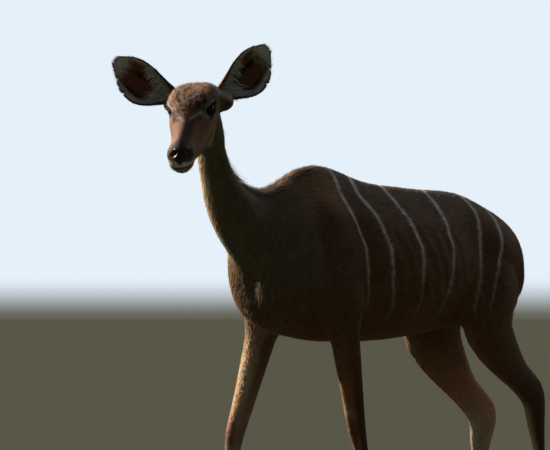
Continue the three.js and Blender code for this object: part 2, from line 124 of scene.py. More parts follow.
# The hide
# One skin covers trunk, neck, head, legs and tail. It is cast from the plain solids, merged and
# remeshed without their cuts, smoothed, and sunk by the depth of the coat that stands on it.
flesh = ["head", "neck", "trunk", "tail"]
flesh += [f"{side}_{end}leg" for side in ("left", "right") for end in ("fore", "hind")]
eyes = ["left_eye", "right_eye"]
hide_grain = 0.0077 # size of the remeshed faces
cut_filling = 0.0006
head_aside = Matrix.Rotation(radians(33), 3, "Z") # turned to its left
head_lowered = Matrix.Rotation(radians(31), 3, "X")
head_rolled = Matrix.Rotation(radians(-2.5), 3, "Y")
head_turn = head_aside @ head_lowered @ head_rolled
eye_places = [sum((Vector(corner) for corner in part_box(eye)), Vector()) / 2 for eye in eyes]
eye_in_head = Vector((0.050, -0.134, 0.026)) # from the back of the skull: left, ahead, up
between_eyes = Vector((0, eye_in_head.y, eye_in_head.z))
head_seat = (eye_places[0] + eye_places[1]) / 2 - head_turn @ between_eyes
head_axes = np.array(head_turn)


def in_head(places):
    return (places - np.array(head_seat)) @ head_axes


def from_head(places):
    return np.asarray(places) @ head_axes.T + np.array(head_seat)


def ramp(values, low, high):
    share = np.clip((values - low) / (high - low), 0, 1)
    return share * share * (3 - 2 * share)


def head_share(head):
    """How far a place in the head's frame is on the head, rather than on the neck."""
    return ramp(-head[:, 1], -0.02, 0.03) * ramp(head[:, 2], -0.165, -0.125)


bpy.ops.object.select_all(action="DESELECT")
for name in flesh + eyes:
    copy = nodes[name].copy()
    copy.data = nodes[name].data.copy()
    copy.parent = None
    copy.matrix_world = Matrix.Identity(4)
    bpy.context.collection.objects.link(copy)
    copy.select_set(True)
    bpy.context.view_layer.objects.active = copy
bpy.ops.object.join()
hide = bpy.context.object
hide.name = "hide"
hide.data.materials.clear()
bpy.ops.object.mode_set(mode="EDIT")
bpy.ops.mesh.select_all(action="SELECT")
bpy.ops.mesh.remove_doubles(threshold=1e-5)
bpy.ops.transform.shrink_fatten(value=cut_filling)
bpy.ops.object.mode_set(mode="OBJECT")
remesh = hide.modifiers.new("remesh", "REMESH")
remesh.mode = "VOXEL"
remesh.voxel_size = hide_grain
remesh.use_smooth_shade = True
bpy.ops.object.modifier_apply(modifier="remesh")


def points_of(thing):
    flat = np.empty(len(thing.data.vertices) * 3)
    thing.data.vertices.foreach_get("co", flat)
    return flat.reshape(-1, 3)


def normals_of(thing):
    flat = np.empty(len(thing.data.vertices) * 3, dtype=np.float32)
    thing.data.vertex_normals.foreach_get("vector", flat)
    return flat.reshape(-1, 3).astype(float)


def place_points(thing, places):
    thing.data.vertices.foreach_set("co", places.astype(np.float32).ravel())
    thing.data.update()


# The face is made of finer faces than the rest.
places = in_head(points_of(hide))
on_face = (places[:, 1] < 0.0) & (places[:, 1] > -0.42)
on_face &= (np.abs(places[:, 0]) < 0.12) & (places[:, 2] > -0.14)
hide.data.vertices.foreach_set("select", np.zeros(len(places), dtype=bool))
face_corners = np.empty(len(hide.data.polygons) * 4, dtype=np.int32)
hide.data.polygons.foreach_get("vertices", face_corners)
fine = on_face[face_corners.reshape(-1, 4)].all(1)
bpy.ops.object.mode_set(mode="EDIT")
bpy.ops.mesh.select_all(action="DESELECT")
bpy.ops.mesh.select_mode(type="FACE")
bpy.ops.object.mode_set(mode="OBJECT")
hide.data.polygons.foreach_set("select", fine)
bpy.ops.object.mode_set(mode="EDIT")
bpy.ops.mesh.subdivide(number_cuts=1)
bpy.ops.object.mode_set(mode="OBJECT")


def relaxed(thing, rounds, amount):
    """The points of a thing, each moved its amount of the way to its neighbours' middle, round by round."""
    places = points_of(thing)
    edges = np.empty(len(thing.data.edges) * 2, dtype=np.int32)
    thing.data.edges.foreach_get("vertices", edges)
    ends = np.concatenate([edges.reshape(-1, 2), edges.reshape(-1, 2)[:, ::-1]])
    count = np.bincount(ends[:, 0], minlength=len(places))[:, None]
    for _ in range(rounds):
        sums = [np.bincount(ends[:, 0], places[ends[:, 1], k], len(places)) for k in range(3)]
        places = places + amount[:, None] * (np.stack(sums, 1) / count - places)
    return places


places = points_of(hide)
of_head = head_share(in_head(places))
of_leg = 1 - ramp(places[:, 2], 0.62, 0.76)


trunk_middle = -0.019 # the frame is centred on the whole animal, whose head reaches out to its left


def tail_share(places):
    """1 on the hanging part of the tail."""
    middle = (np.abs(places[:, 0] - trunk_middle) < 0.05) & (places[:, 2] > 0.60)
    return ramp(places[:, 1], 0.80, 0.82) * (1 - ramp(places[:, 2], 0.98, 1.03)) * middle


of_tail = tail_share(places)
softness = 0.5 * (1 - 0.72 * np.maximum(of_leg, of_tail)) * (1 - 0.25 * of_head)
place_points(hide, relaxed(hide, 24, softness))

# Bones and muscles that show: where each lies on the left side, how far it spreads, how high it stands
body_forms = [
    ((0.10, -0.13, 1.08), (0.09, 0.055, 0.110), 0.014), # shoulder blade
    ((0.14, -0.03, 0.98), (0.10, 0.030, 0.150), -0.010), # hollow behind it
    ((0.12, -0.10, 0.86), (0.08, 0.075, 0.085), 0.012), # upper arm
    ((0.09, -0.27, 0.90), (0.07, 0.045, 0.060), 0.010), # point of the shoulder
    ((0.11, -0.20, 1.02), (0.07, 0.024, 0.120), -0.011), # groove ahead of the blade
    ((0.14, -0.02, 0.775), (0.07, 0.030, 0.040), -0.009), # elbow's fold
    ((0.15, 0.47, 1.03), (0.09, 0.075, 0.060), -0.014), # hollow of the flank
    ((0.10, 0.53, 1.135), (0.05, 0.045, 0.030), 0.008), # hip bone
    ((0.15, 0.60, 0.93), (0.09, 0.080, 0.130), 0.007), # thigh
    ((0.09, 0.77, 0.85), (0.06, 0.050, 0.080), 0.018), # buttock
    ((0.09, 0.75, 0.775), (0.05, 0.040, 0.060), 0.009), # back of the thigh
    ((0.09, 0.42, 0.775), (0.06, 0.070, 0.030), 0.007), # fold from flank to knee
    ((0.05, -0.36, 0.93), (0.05, 0.060, 0.080), 0.008), # breast on either side
    ((0.00, -0.39, 0.93), (0.018, 0.060, 0.120), -0.008), # groove between
    ((0.16, 0.64, 1.02), (0.09, 0.060, 0.090), 0.007), # rump
    ((0.16, 0.50, 0.90), (0.09, 0.030, 0.120), -0.005), # groove ahead of the thigh
    ((0.00, -0.12, 1.23), (0.060, 0.170, 0.050), 0.017), # ridge of the withers
    ((0.00, 0.24, 1.19), (0.055, 0.260, 0.050), 0.014), # ridge of the back
    ((0.00, 0.52, 1.17), (0.055, 0.110, 0.050), 0.009), # ridge of the croup
]
# The same, on the head, in its own frame
face_forms = [
    ((0.046, -0.116, 0.062), (0.020, 0.036, 0.014), 0.0040), # rim of the brow
    ((0.056, -0.040, 0.058), (0.024, 0.028, 0.020), 0.0015), # between the crown and the ear
    ((0.086, -0.030, -0.018), (0.024, 0.030, 0.030), 0.0060), # below the ear
    ((0.060, -0.172, 0.002), (0.018, 0.030, 0.020), 0.0035), # cheek bone
    ((0.050, -0.215, -0.010), (0.020, 0.045, 0.016), 0.0025),
    ((0.052, -0.196, -0.036), (0.020, 0.040, 0.014), -0.0040), # hollow below it
    ((0.060, -0.100, -0.050), (0.020, 0.045, 0.040), 0.0030), # jaw muscle
    ((0.040, -0.220, -0.072), (0.020, 0.060, 0.020), 0.0060), # lower jaw
    ((0.024, -0.300, 0.024), (0.012, 0.050, 0.012), -0.0030), # beside the nose bone
    ((0.033, -0.338, -0.006), (0.013, 0.026, 0.018), 0.0035), # wing of the nostril
    ((0.030, -0.350, -0.040), (0.014, 0.022, 0.012), 0.0030), # upper lip
    ((0.000, -0.100, 0.075), (0.022, 0.050, 0.020), -0.0030), # between the brows
    ((0.052, -0.168, 0.024), (0.014, 0.016, 0.016), -0.0050), # ahead of the eye
    ((0.036, -0.194, 0.036), (0.016, 0.022, 0.012), 0.0045), # brow end of the nose bone
]


def raised(places, forms):
    """How high the forms stand at each place, on both sides of the middle."""
    height = np.zeros(len(places))
    for centre, spread, high in forms:
        for side in (1, -1):
            away = (places - np.array(centre) * (side, 1, 1)) / np.array(spread)
            height += high * np.exp(-(away**2).sum(1)) / (2 if centre[0] == 0 else 1)
    return height


places = points_of(hide)
normals = normals_of(hide)
on_head = in_head(places)
of_head = head_share(on_head)
height = raised(places, body_forms) * (1 - of_head)
ribs = ramp(places[:, 1], 0.0, 0.08) * (1 - ramp(places[:, 1], 0.34, 0.44))
ribs *= ramp(places[:, 2], 0.78, 0.86) * (1 - ramp(places[:, 2], 1.02, 1.10))
rib_spacing, rib_height, rib_slant = 0.052, 0.0016, 0.25
rib_place = (places[:, 1] + rib_slant * (places[:, 2] - 0.9)) / rib_spacing
height += rib_height * ribs * np.cos(rib_place * 2 * np.pi)
height += raised(on_head, face_forms) * of_head

# How deep the coat is over it. Along the nape and withers stands a crest of longer hair.
def crest_share(places, normals):
    """1 along the ridge of nape and withers, fading over the back and down to the sides."""
    middle = np.interp(-places[:, 1], [0.30, 0.46, 0.56, 0.645], [trunk_middle, -0.011, 0.003, 0.0215])
    crest = np.exp(-(((places[:, 0] - middle) / 0.022) ** 2))
    crest *= ramp(normals[:, 2] + 0.6 * normals[:, 1], 0.3, 0.7) * (places[:, 2] > 1.0)
    return crest * (1 - ramp(places[:, 1], -0.10, 0.45)) * (1 - head_share(in_head(places)))


crest = crest_share(places, normals)
body_coat, foot_coat, face_coat, crest_coat, tail_coat = 0.0035, 0.0015, 0.0010, 0.005, 0.008
depth = foot_coat + (body_coat - foot_coat) * ramp(places[:, 2], 0.25, 0.72)
depth = depth * (1 - of_head) + face_coat * of_head + crest_coat * crest + tail_coat * tail_share(places)
place_points(hide, places + normals * (height - depth)[:, None])

# Round each eye the hide rises into lids, and between them it passes behind the eyeball.
eye_radius = 0.018
eye_look = np.array((0.75, -0.65, 0.06))
eye_look = eye_look / np.linalg.norm(eye_look)
lid_opening = (0.0168, 0.0118) # half sizes: fore and aft, up and down
lid_along = np.cross((0, 0, 1), eye_look)
lid_along = lid_along / np.linalg.norm(lid_along)
lid_up = np.cross(eye_look, lid_along)


def side_signs(head):
    """What turns places of either side of the head into places of its left side, and back."""
    return np.where(head[:, :1] < 0, (-1, 1, 1), (1, 1, 1))


def about_eye(head):
    """Where places lie about the eye on their side: aft, up, and out along its look."""
    away = head * side_signs(head) - np.array(eye_in_head)
    aft = away @ lid_along / lid_opening[0]
    return aft, away @ lid_up / lid_opening[1] - 0.25 * aft, away @ eye_look, (away**2).sum(1)


on_head = in_head(points_of(hide))
aft, over, out, apart = about_eye(on_head)
ring = np.sqrt(aft**2 + over**2)
near = (out > 0) & (ring < 3) & (apart < 0.05**2)
lid_clearance = 0.0024
cover = np.sqrt(np.clip((eye_radius + lid_clearance) ** 2 - apart + out**2, 0, None))
thick = 0.0016 * np.exp(-(((ring - 1.16) / 0.20) ** 2)) # the lids' rolled edges
fold = 0.0016 * np.exp(-(((ring - 1.62) / 0.13) ** 2)) * ramp(over, 0.2, 0.9)
rise = (np.clip(cover + thick - out, 0, 0.012) * ramp(1.8 - ring, 0, 0.7) - fold) * (ring > 0.97)
sink = np.where(ring < 0.97, np.clip(out - 0.006, 0, 0.03), 0)
on_head = on_head + np.where(near, rise - sink, 0)[:, None] * eye_look * side_signs(on_head)

# Nostrils are slits that curl up and out from the wet nose, and the mouth is a shallow line.
nose_middle = 0.008 # the muzzle bends a little to the left
nostril = np.array((0.021, -0.366, 0.001))
nostril_half = (0.0095, 0.018, 0.0050)
for side in (1, -1):
    slant = np.array(Matrix.Rotation(side * radians(28), 3, "Y"))
    away = (on_head - nostril * (side, 1, 1) - (nose_middle, 0, 0)) @ slant / nostril_half
    inside = np.exp(-((away**2).sum(1) ** 1.5))
    on_head = on_head + inside[:, None] * np.array((-side * 0.003, 0.012, 0.0))


def mouth_level(hy):
    """How high the line of the mouth runs, from the lips back to its corners."""
    return -0.043 + 0.10 * np.clip(hy + 0.372, 0, 0.2)


mouth = np.exp(-(((on_head[:, 2] - mouth_level(on_head[:, 1])) / 0.0028) ** 2))
mouth *= ramp(-on_head[:, 1], 0.262, 0.290)
on_head[:, 1] += 0.0035 * mouth
on_head[:, 0] -= 0.0030 * mouth * np.sign(on_head[:, 0])
place_points(hide, from_head(on_head))
hide.data.polygons.foreach_set("use_smooth", np.ones(len(hide.data.polygons), dtype=bool))

# The ears
# Big cupped leaves of gristle on the roots that the hide already has. They are thin shells of one
# wall and a rim, with worn nicks, and are joined to the hide so that it stays one skin.
ear_root = (0.067, -0.036, 0.014) # of the left ear, in the head's frame
ear_length = 0.219
ear_start = 0.012
ear_walls = 0.0048
ear_lie = { # side, then how far it reaches outwards, back and up, and how its mouth is turned
    "left_ear": (1, (0.582, 0.50, 0.657), 22),
    "right_ear": (-1, (-0.857, 0.05, 0.574), -6),
}
ear_leaf = { # from its start to its tip, in millimetres and degrees
    "front": (22, 27, 34, 41, 44, 42, 35, 20),
    "rear": (25, 48, 69, 79, 77, 67, 49, 22),
    "depth": (34, 42, 42, 38, 32, 25, 17, 8),
    "wrap": (118, 98, 84, 76, 72, 68, 64, 60),
}
ear_nicks = { # how far along the rear edge, how deep, how long
    "left_ear": ((0.180, 0.014, 0.0030), (0.133, 0.006, 0.0026)),
    "right_ear": ((0.188, 0.015, 0.0034), (0.168, 0.004, 0.0026), (0.142, 0.008, 0.0030)),
}
ear_rows, ear_columns = 104, 40


def through(values, share):
    """A smooth curve through evenly spaced values."""
    at = np.clip(np.asarray(share) * (len(values) - 1), 0, len(values) - 1 - 1e-9)
    i = at.astype(int)
    t = at - i
    padded = np.concatenate([[2 * values[0] - values[1]], values, [2 * values[-1] - values[-2]]])
    p, q, r, u = padded[i], padded[i + 1], padded[i + 2], padded[i + 3]
    return 0.5 * (2 * q + (r - p) * t + (2 * p - 5 * q + 4 * r - u) * t**2 + (3 * q - p - 3 * r + u) * t**3)


def ear_axes(name):
    """Where an ear points, where its cup opens, and where its rear edge lies."""
    side, lie, opens = ear_lie[name]
    axis = np.array(head_aside @ head_rolled @ Vector(lie))
    axis = axis / np.linalg.norm(axis)
    mouth = np.array(head_aside @ Matrix.Rotation(radians(side * opens), 3, "Z") @ Vector((0, -1, 0)))
    mouth = mouth - axis * (mouth @ axis)
    mouth = mouth / np.linalg.norm(mouth)
    return axis, mouth, np.cross(axis, mouth) * side


def ear_surface(name, share, across, wall):
    """Points of an ear: share runs to the tip, across from the front edge at -1 to the rear at 1."""
    side = ear_lie[name][0]
    axis, mouth, edge = ear_axes(name)
    front, rear, depth, wrap = (through(ear_leaf[key], share) for key in ("front", "rear", "depth", "wrap"))
    wrap = np.radians(wrap)
    along = ear_start + (ear_length - ear_start) * share
    for place, deep, long in ear_nicks[name]:
        rear = rear - 1000 * deep * np.exp(-(((along - place) / long) ** 2)) * ramp(across, 0.55, 1.0)
    inset = 1000 * wall * (1 - 0.45 * share)
    angle = wrap * across
    rim = 1 - 0.10 * ramp(np.abs(across), 0.80, 1.0)
    width = (np.where(across < 0, front, rear) - inset * np.abs(across)) / np.sin(np.minimum(wrap, np.pi / 2))
    sink = (depth - inset) * (np.cos(angle) - np.cos(wrap)) / (1 - np.cos(wrap)) * rim
    folds = 0.9 * np.cos(across * 17) * ramp(share, 0.02, 0.12) * (1 - ramp(share, 0.35, 0.6)) * (wall > 0)
    along = along - 0.012 * np.abs(across) ** 3 * ramp(share, 0.60, 1.0)
    root = from_head([(side * ear_root[0], *ear_root[1:])])[0]
    places = root + axis * along[:, None] + edge * (width * np.sin(angle) / 1000)[:, None]
    return places - mouth * ((sink + folds) / 1000)[:, None]


def add_ear(name):
    row = ear_columns + 1
    share, across = np.meshgrid(np.linspace(0, 1, ear_rows + 1), np.linspace(-1, 1, row), indexing="ij")
    share, across = share.ravel(), across.ravel()
    outer = ear_surface(name, share, across, 0.0)
    inner = ear_surface(name, share, across, ear_walls)
    size = len(outer)
    quads = []
    for i in range(ear_rows):
        for k in range(ear_columns):
            a = i * row + k
            quads.append((a, a + 1, a + row + 1, a + row))
            quads.append((size + a + 1, size + a, size + a + row, size + a + row + 1))
        for k, flip in ((0, False), (ear_columns, True)):
            a = i * row + k
            strip = (size + a, a, a + row, size + a + row)
            quads.append(strip[::-1] if flip else strip)
    for i, flip in ((0, True), (ear_rows, False)):
        for k in range(ear_columns):
            a = i * row + k
            strip = (a, a + 1, size + a + 1, size + a)
            quads.append(strip[::-1] if flip else strip)
    mesh = bpy.data.meshes.new(name + "_shell")
    mesh.from_pydata(np.concatenate([outer, inner]).tolist(), [], quads)
    ear = bpy.data.objects.new(name + "_shell", mesh)
    bpy.context.collection.objects.link(ear)
    for key, values in {
        "ear_share": np.concatenate([share, share]) + 1e-3,
        "ear_across": np.concatenate([across, across]),
        "ear_inside": np.concatenate([np.zeros(size), np.ones(size)]),
    }.items():
        mesh.attributes.new(key, "FLOAT", "POINT").data.foreach_set("value", values.astype(np.float32))
    bpy.ops.object.select_all(action="DESELECT")
    ear.select_set(True)
    bpy.context.view_layer.objects.active = ear
    bpy.ops.object.mode_set(mode="EDIT")
    bpy.ops.mesh.select_all(action="SELECT")
    bpy.ops.mesh.normals_make_consistent(inside=False)
    bpy.ops.object.mode_set(mode="OBJECT")
    mesh.polygons.foreach_set("use_smooth", np.ones(len(mesh.polygons), dtype=bool))
    return ear


ears = [add_ear(name) for name in ear_lie]
bpy.ops.object.select_all(action="DESELECT")
for ear in ears:
    ear.select_set(True)
hide.select_set(True)
bpy.context.view_layer.objects.active = hide
bpy.ops.object.join()

# The unwrap of the hide, by which each tuft of the coat finds its patch
bpy.ops.object.select_all(action="DESELECT")
hide.select_set(True)
bpy.context.view_layer.objects.active = hide
while hide.data.uv_layers:
    hide.data.uv_layers.remove(hide.data.uv_layers[0])
hide.data.uv_layers.new(name="OFBake")
bpy.ops.object.mode_set(mode="EDIT")
bpy.ops.mesh.select_all(action="SELECT")
bpy.ops.uv.smart_project(angle_limit=radians(66), island_margin=0.002)
bpy.ops.object.mode_set(mode="OBJECT")


# The coat's colours
# Grey-brown above, paler below and inside the legs, tawny shins with dark marks, six thin white
# stripes over each side, and on the face a white bar under the eyes, pale lips and a dark nose.
# Some of these colours are painted light: sunlight on the tops of the shoulder blades, the breast's right
# side and the right shin, highlights along the jaws and on the upper lids, and shade below the ears.
def colour(red, green, blue):
    srgb = np.array((red, green, blue)) / 255
    return np.where(srgb <= 0.04045, srgb / 12.92, ((srgb + 0.055) / 1.055) ** 2.4)


grey_brown = colour(112, 82, 52)
dark_brown = colour(72, 47, 30)
# Painted sunlight: the light brown for the tops of the shoulder blades, where light from above falls on the
# withers.
withers_painted_sunlight = colour(168, 122, 82)
# Partly the breast's reddish hair, partly painted sunlight on its side towards the sun.
breast_brown_and_sunlight = colour(140, 96, 64)
belly_brown = colour(110, 70, 44)
neck_grey = colour(108, 98, 76)
tawny = colour(186, 132, 84)
# Partly tawny hair, partly painted sunlight on the right foreleg's shin.
shin_tawny_and_sunlight = colour(222, 180, 138)
chestnut = colour(118, 68, 42)
umber = colour(66, 42, 28)
leg_white = colour(206, 196, 178)
sand = colour(214, 184, 146)
white = colour(236, 231, 220)
stripe_white = colour(246, 244, 238)
black = colour(20, 16, 14)

stripe_levels = (0.82, 0.90, 1.00, 1.10, 1.175)
stripe_lines = [ # where each of the six lies along the body at those heights, from the front
    (-0.022, -0.030, -0.022, -0.050, -0.072),
    (0.078, 0.062, 0.070, 0.054, 0.012),
    (0.190, 0.188, 0.196, 0.186, 0.164),
    (0.312, 0.324, 0.344, 0.358, 0.366),
    (0.460, 0.482, 0.506, 0.530, 0.545),
    (0.516, 0.545, 0.606, 0.634, 0.640),
]
stripe_half = 0.0044


def waves(places, size, seed):
    """Soft patches of about this size, from -1 to 1."""
    chance = np.random.default_rng(seed)
    total = np.zeros(len(places))
    for _ in range(6):
        way = chance.normal(size=3)
        way = way / np.linalg.norm(way) * 2 * np.pi / (size * chance.uniform(0.7, 1.4))
        total += np.sin(places @ way + chance.uniform(0, 6.3))
    return total / 6


def stripes(places):
    """1 on the stripes, which waver a little and fade out low on the side."""
    level = np.clip(places[:, 2], stripe_levels[0], stripe_levels[-1])
    y = places[:, 1] + 0.003 * waves(places, 0.12, 3) + 0.0022 * waves(places, 0.018, 12)
    y = y + np.where(places[:, 0] < 0, 0.012, 0)
    nearest = np.full(len(places), 9.0)
    for line in stripe_lines:
        slope = np.gradient(np.array(line), stripe_levels)
        lean = np.sqrt(1 + np.interp(level, stripe_levels, slope) ** 2)
        nearest = np.minimum(nearest, np.abs(y - np.interp(level, stripe_levels, line)) / lean)
    strength = 0.30 * ramp(places[:, 2], 0.76, 0.84) + 0.75 * ramp(places[:, 2], 0.84, 1.00)
    strength *= 0.92 + 0.25 * waves(places, 0.05, 4)
    width = stripe_half * (0.75 + 0.45 * ramp(places[:, 2], 0.9, 1.15))
    return np.clip((width - nearest) / 0.002 + 0.5, 0, 1) * np.clip(strength, 0, 1)


def mixed(tint, other, share):
    return tint + (other - tint) * np.clip(share, 0, 1)[:, None]


def leg_tint(tint, places, normals):
    """Legs pale inside and in front, umber outside, with chestnut knees and dark and white fetlocks."""
    _, y, z = places.T
    off = places[:, 0] - trunk_middle
    of_foreleg = y < 0.3
    low = 1 - ramp(z, 0.50, 0.80)
    shank = 1 - ramp(z, 0.36, 0.56)
    front = ramp(-normals[:, 1], 0.2, 0.8)
    inner = np.clip(-normals[:, 0] * np.sign(off), 0, 1)
    outer = np.clip(normals[:, 0] * np.sign(off), 0, 1)
    tint = mixed(tint, tawny, 0.45 * low)
    tint = mixed(tint, leg_white, (0.10 * low + 0.42 * shank) * ramp(inner, 0.0, 0.6))
    streaks = ramp(waves(places * (1, 1, 0.3), 0.03, 6), 0.0, 0.3)
    streaks *= np.where(off < 0, 1 - ramp(z, 0.68, 0.78), 1 - ramp(z, 0.46, 0.54)) * of_foreleg
    # Partly tawny hair, partly painted sunlight: the right foreleg alone is lighter on its front and on its
    # side towards the sun.
    sunlit_right_shin = (off < 0) * of_foreleg * ramp(-normals[:, 1] - 0.3 * normals[:, 0], -0.2, 0.6)
    tint = mixed(tint, shin_tawny_and_sunlight, 0.85 * (1 - ramp(z, 0.62, 0.84)) * sunlit_right_shin)
    tint = mixed(tint, leg_white, 0.85 * low * front * streaks)
    tint = mixed(tint, leg_white, 0.70 * shank * front * ~of_foreleg * ramp(inner, -0.3, 0.3))
    tint = mixed(tint, leg_white, 0.55 * low * ramp(-normals[:, 1], 0.65, 0.95) * ~of_foreleg)
    tint = mixed(tint, umber, 0.85 * low * ramp(outer, 0.1, 0.7) * (1 - 0.7 * front))
    knee = np.exp(-(((z - 0.43) / 0.06) ** 2)) * of_foreleg
    tint = mixed(tint, chestnut, 0.85 * knee * np.maximum(front, 0.4))
    tint = mixed(tint, dark_brown, 0.6 * np.exp(-(((z - 0.11) / 0.03) ** 2)))
    return mixed(tint, white, 0.7 * np.exp(-(((z - 0.06) / 0.012) ** 2)))


def coat_tint(places, normals):
    """The coat's colour anywhere on the animal, from where it is and which way the hide faces there."""
    _, y, z = places.T
    off = places[:, 0] - trunk_middle
    head = in_head(places)
    tint = np.tile(grey_brown, (len(places), 1))
    tint = mixed(tint, dark_brown, 0.45 * ramp(z, 1.06, 1.2) * ramp(y, -0.40, -0.25))
    # Painted sunlight: a patch of lighter brown over the top of each shoulder blade.
    sunlit_blade_top = np.exp(-(((y + 0.15) / 0.090) ** 2) - ((z - 1.170) / 0.060) ** 2)
    tint = mixed(tint, withers_painted_sunlight, 0.75 * sunlit_blade_top)
    tint = mixed(tint, neck_grey, ramp(-y, 0.04, 0.42))
    throat = ramp(-normals[:, 1] - 0.4 * normals[:, 0], 0.75, 1.0) * ramp(-y, 0.34, 0.44)
    tint = mixed(tint, sand, 0.85 * throat * ramp(z, 0.90, 1.0))
    # Partly reddish hair, partly painted grazing sunlight: lighter reddish brown only on the right side of
    # the breast, which faces the sun.
    breast = ramp(-0.73 * normals[:, 0] - 0.68 * normals[:, 1], 0.55, 0.95)
    breast *= ramp(-y, 0.24, 0.36) * (1 - ramp(z, 0.90, 1.02)) * ramp(-off, -0.01, 0.03)
    tint = mixed(tint, breast_brown_and_sunlight, 0.6 * breast)
    tint = mixed(tint, belly_brown, 0.6 * ramp(-normals[:, 2], -0.1, 0.7) * (1 - ramp(z, 0.82, 0.98)))
    tint = leg_tint(tint, places, normals)
    tint = mixed(tint, stripe_white, 0.97 * stripes(places) * ramp(y, -0.12, -0.08))
    tail = tail_share(places)
    under = ramp(0.06 - np.abs(off), 0, 0.03) * ramp(-normals[:, 1], -0.2, 0.6)
    tint = mixed(tint, white, 0.9 * tail * under * (1 - ramp(z, 0.95, 1.02)))
    tint = mixed(tint, black, tail * (1 - ramp(z, 0.69, 0.74)) * ramp(z, 0.60, 0.63))
    face = head_share(head)[:, None]
    tint = tint * (1 - face) + face_tint(head, normals @ head_axes) * face
    return tint * (1 + 0.12 * waves(places, 0.06, 1) + 0.14 * waves(places, 0.011, 2))[:, None]


# Colours of the face, with painted shade below the ears and painted highlights along the jaws and on the
# upper lids
face_brown = colour(122, 92, 64)
brow_brown = colour(152, 114, 88)
curl_brown = colour(34, 22, 18)
between_eyes_brown = colour(46, 35, 30)
cheek_tawny = colour(146, 98, 64)
bridge_grey = colour(72, 57, 49)
# Painted shade below the ears.
below_ear_shade_brown = colour(66, 52, 38)
front_hair_white = colour(222, 214, 196)
chin_sand = colour(176, 146, 112)
nostril_brown = colour(44, 32, 26)
mouth_black = colour(34, 24, 20)
# The white is partly a pale eye ring and partly a painted highlight on the upper lids.
lid_grey, lid_black, lid_white_and_highlight = colour(120, 100, 82), colour(26, 18, 14), colour(206, 204, 200)
corner_sand = colour(204, 168, 130)
wet_grey = colour(38, 33, 31)


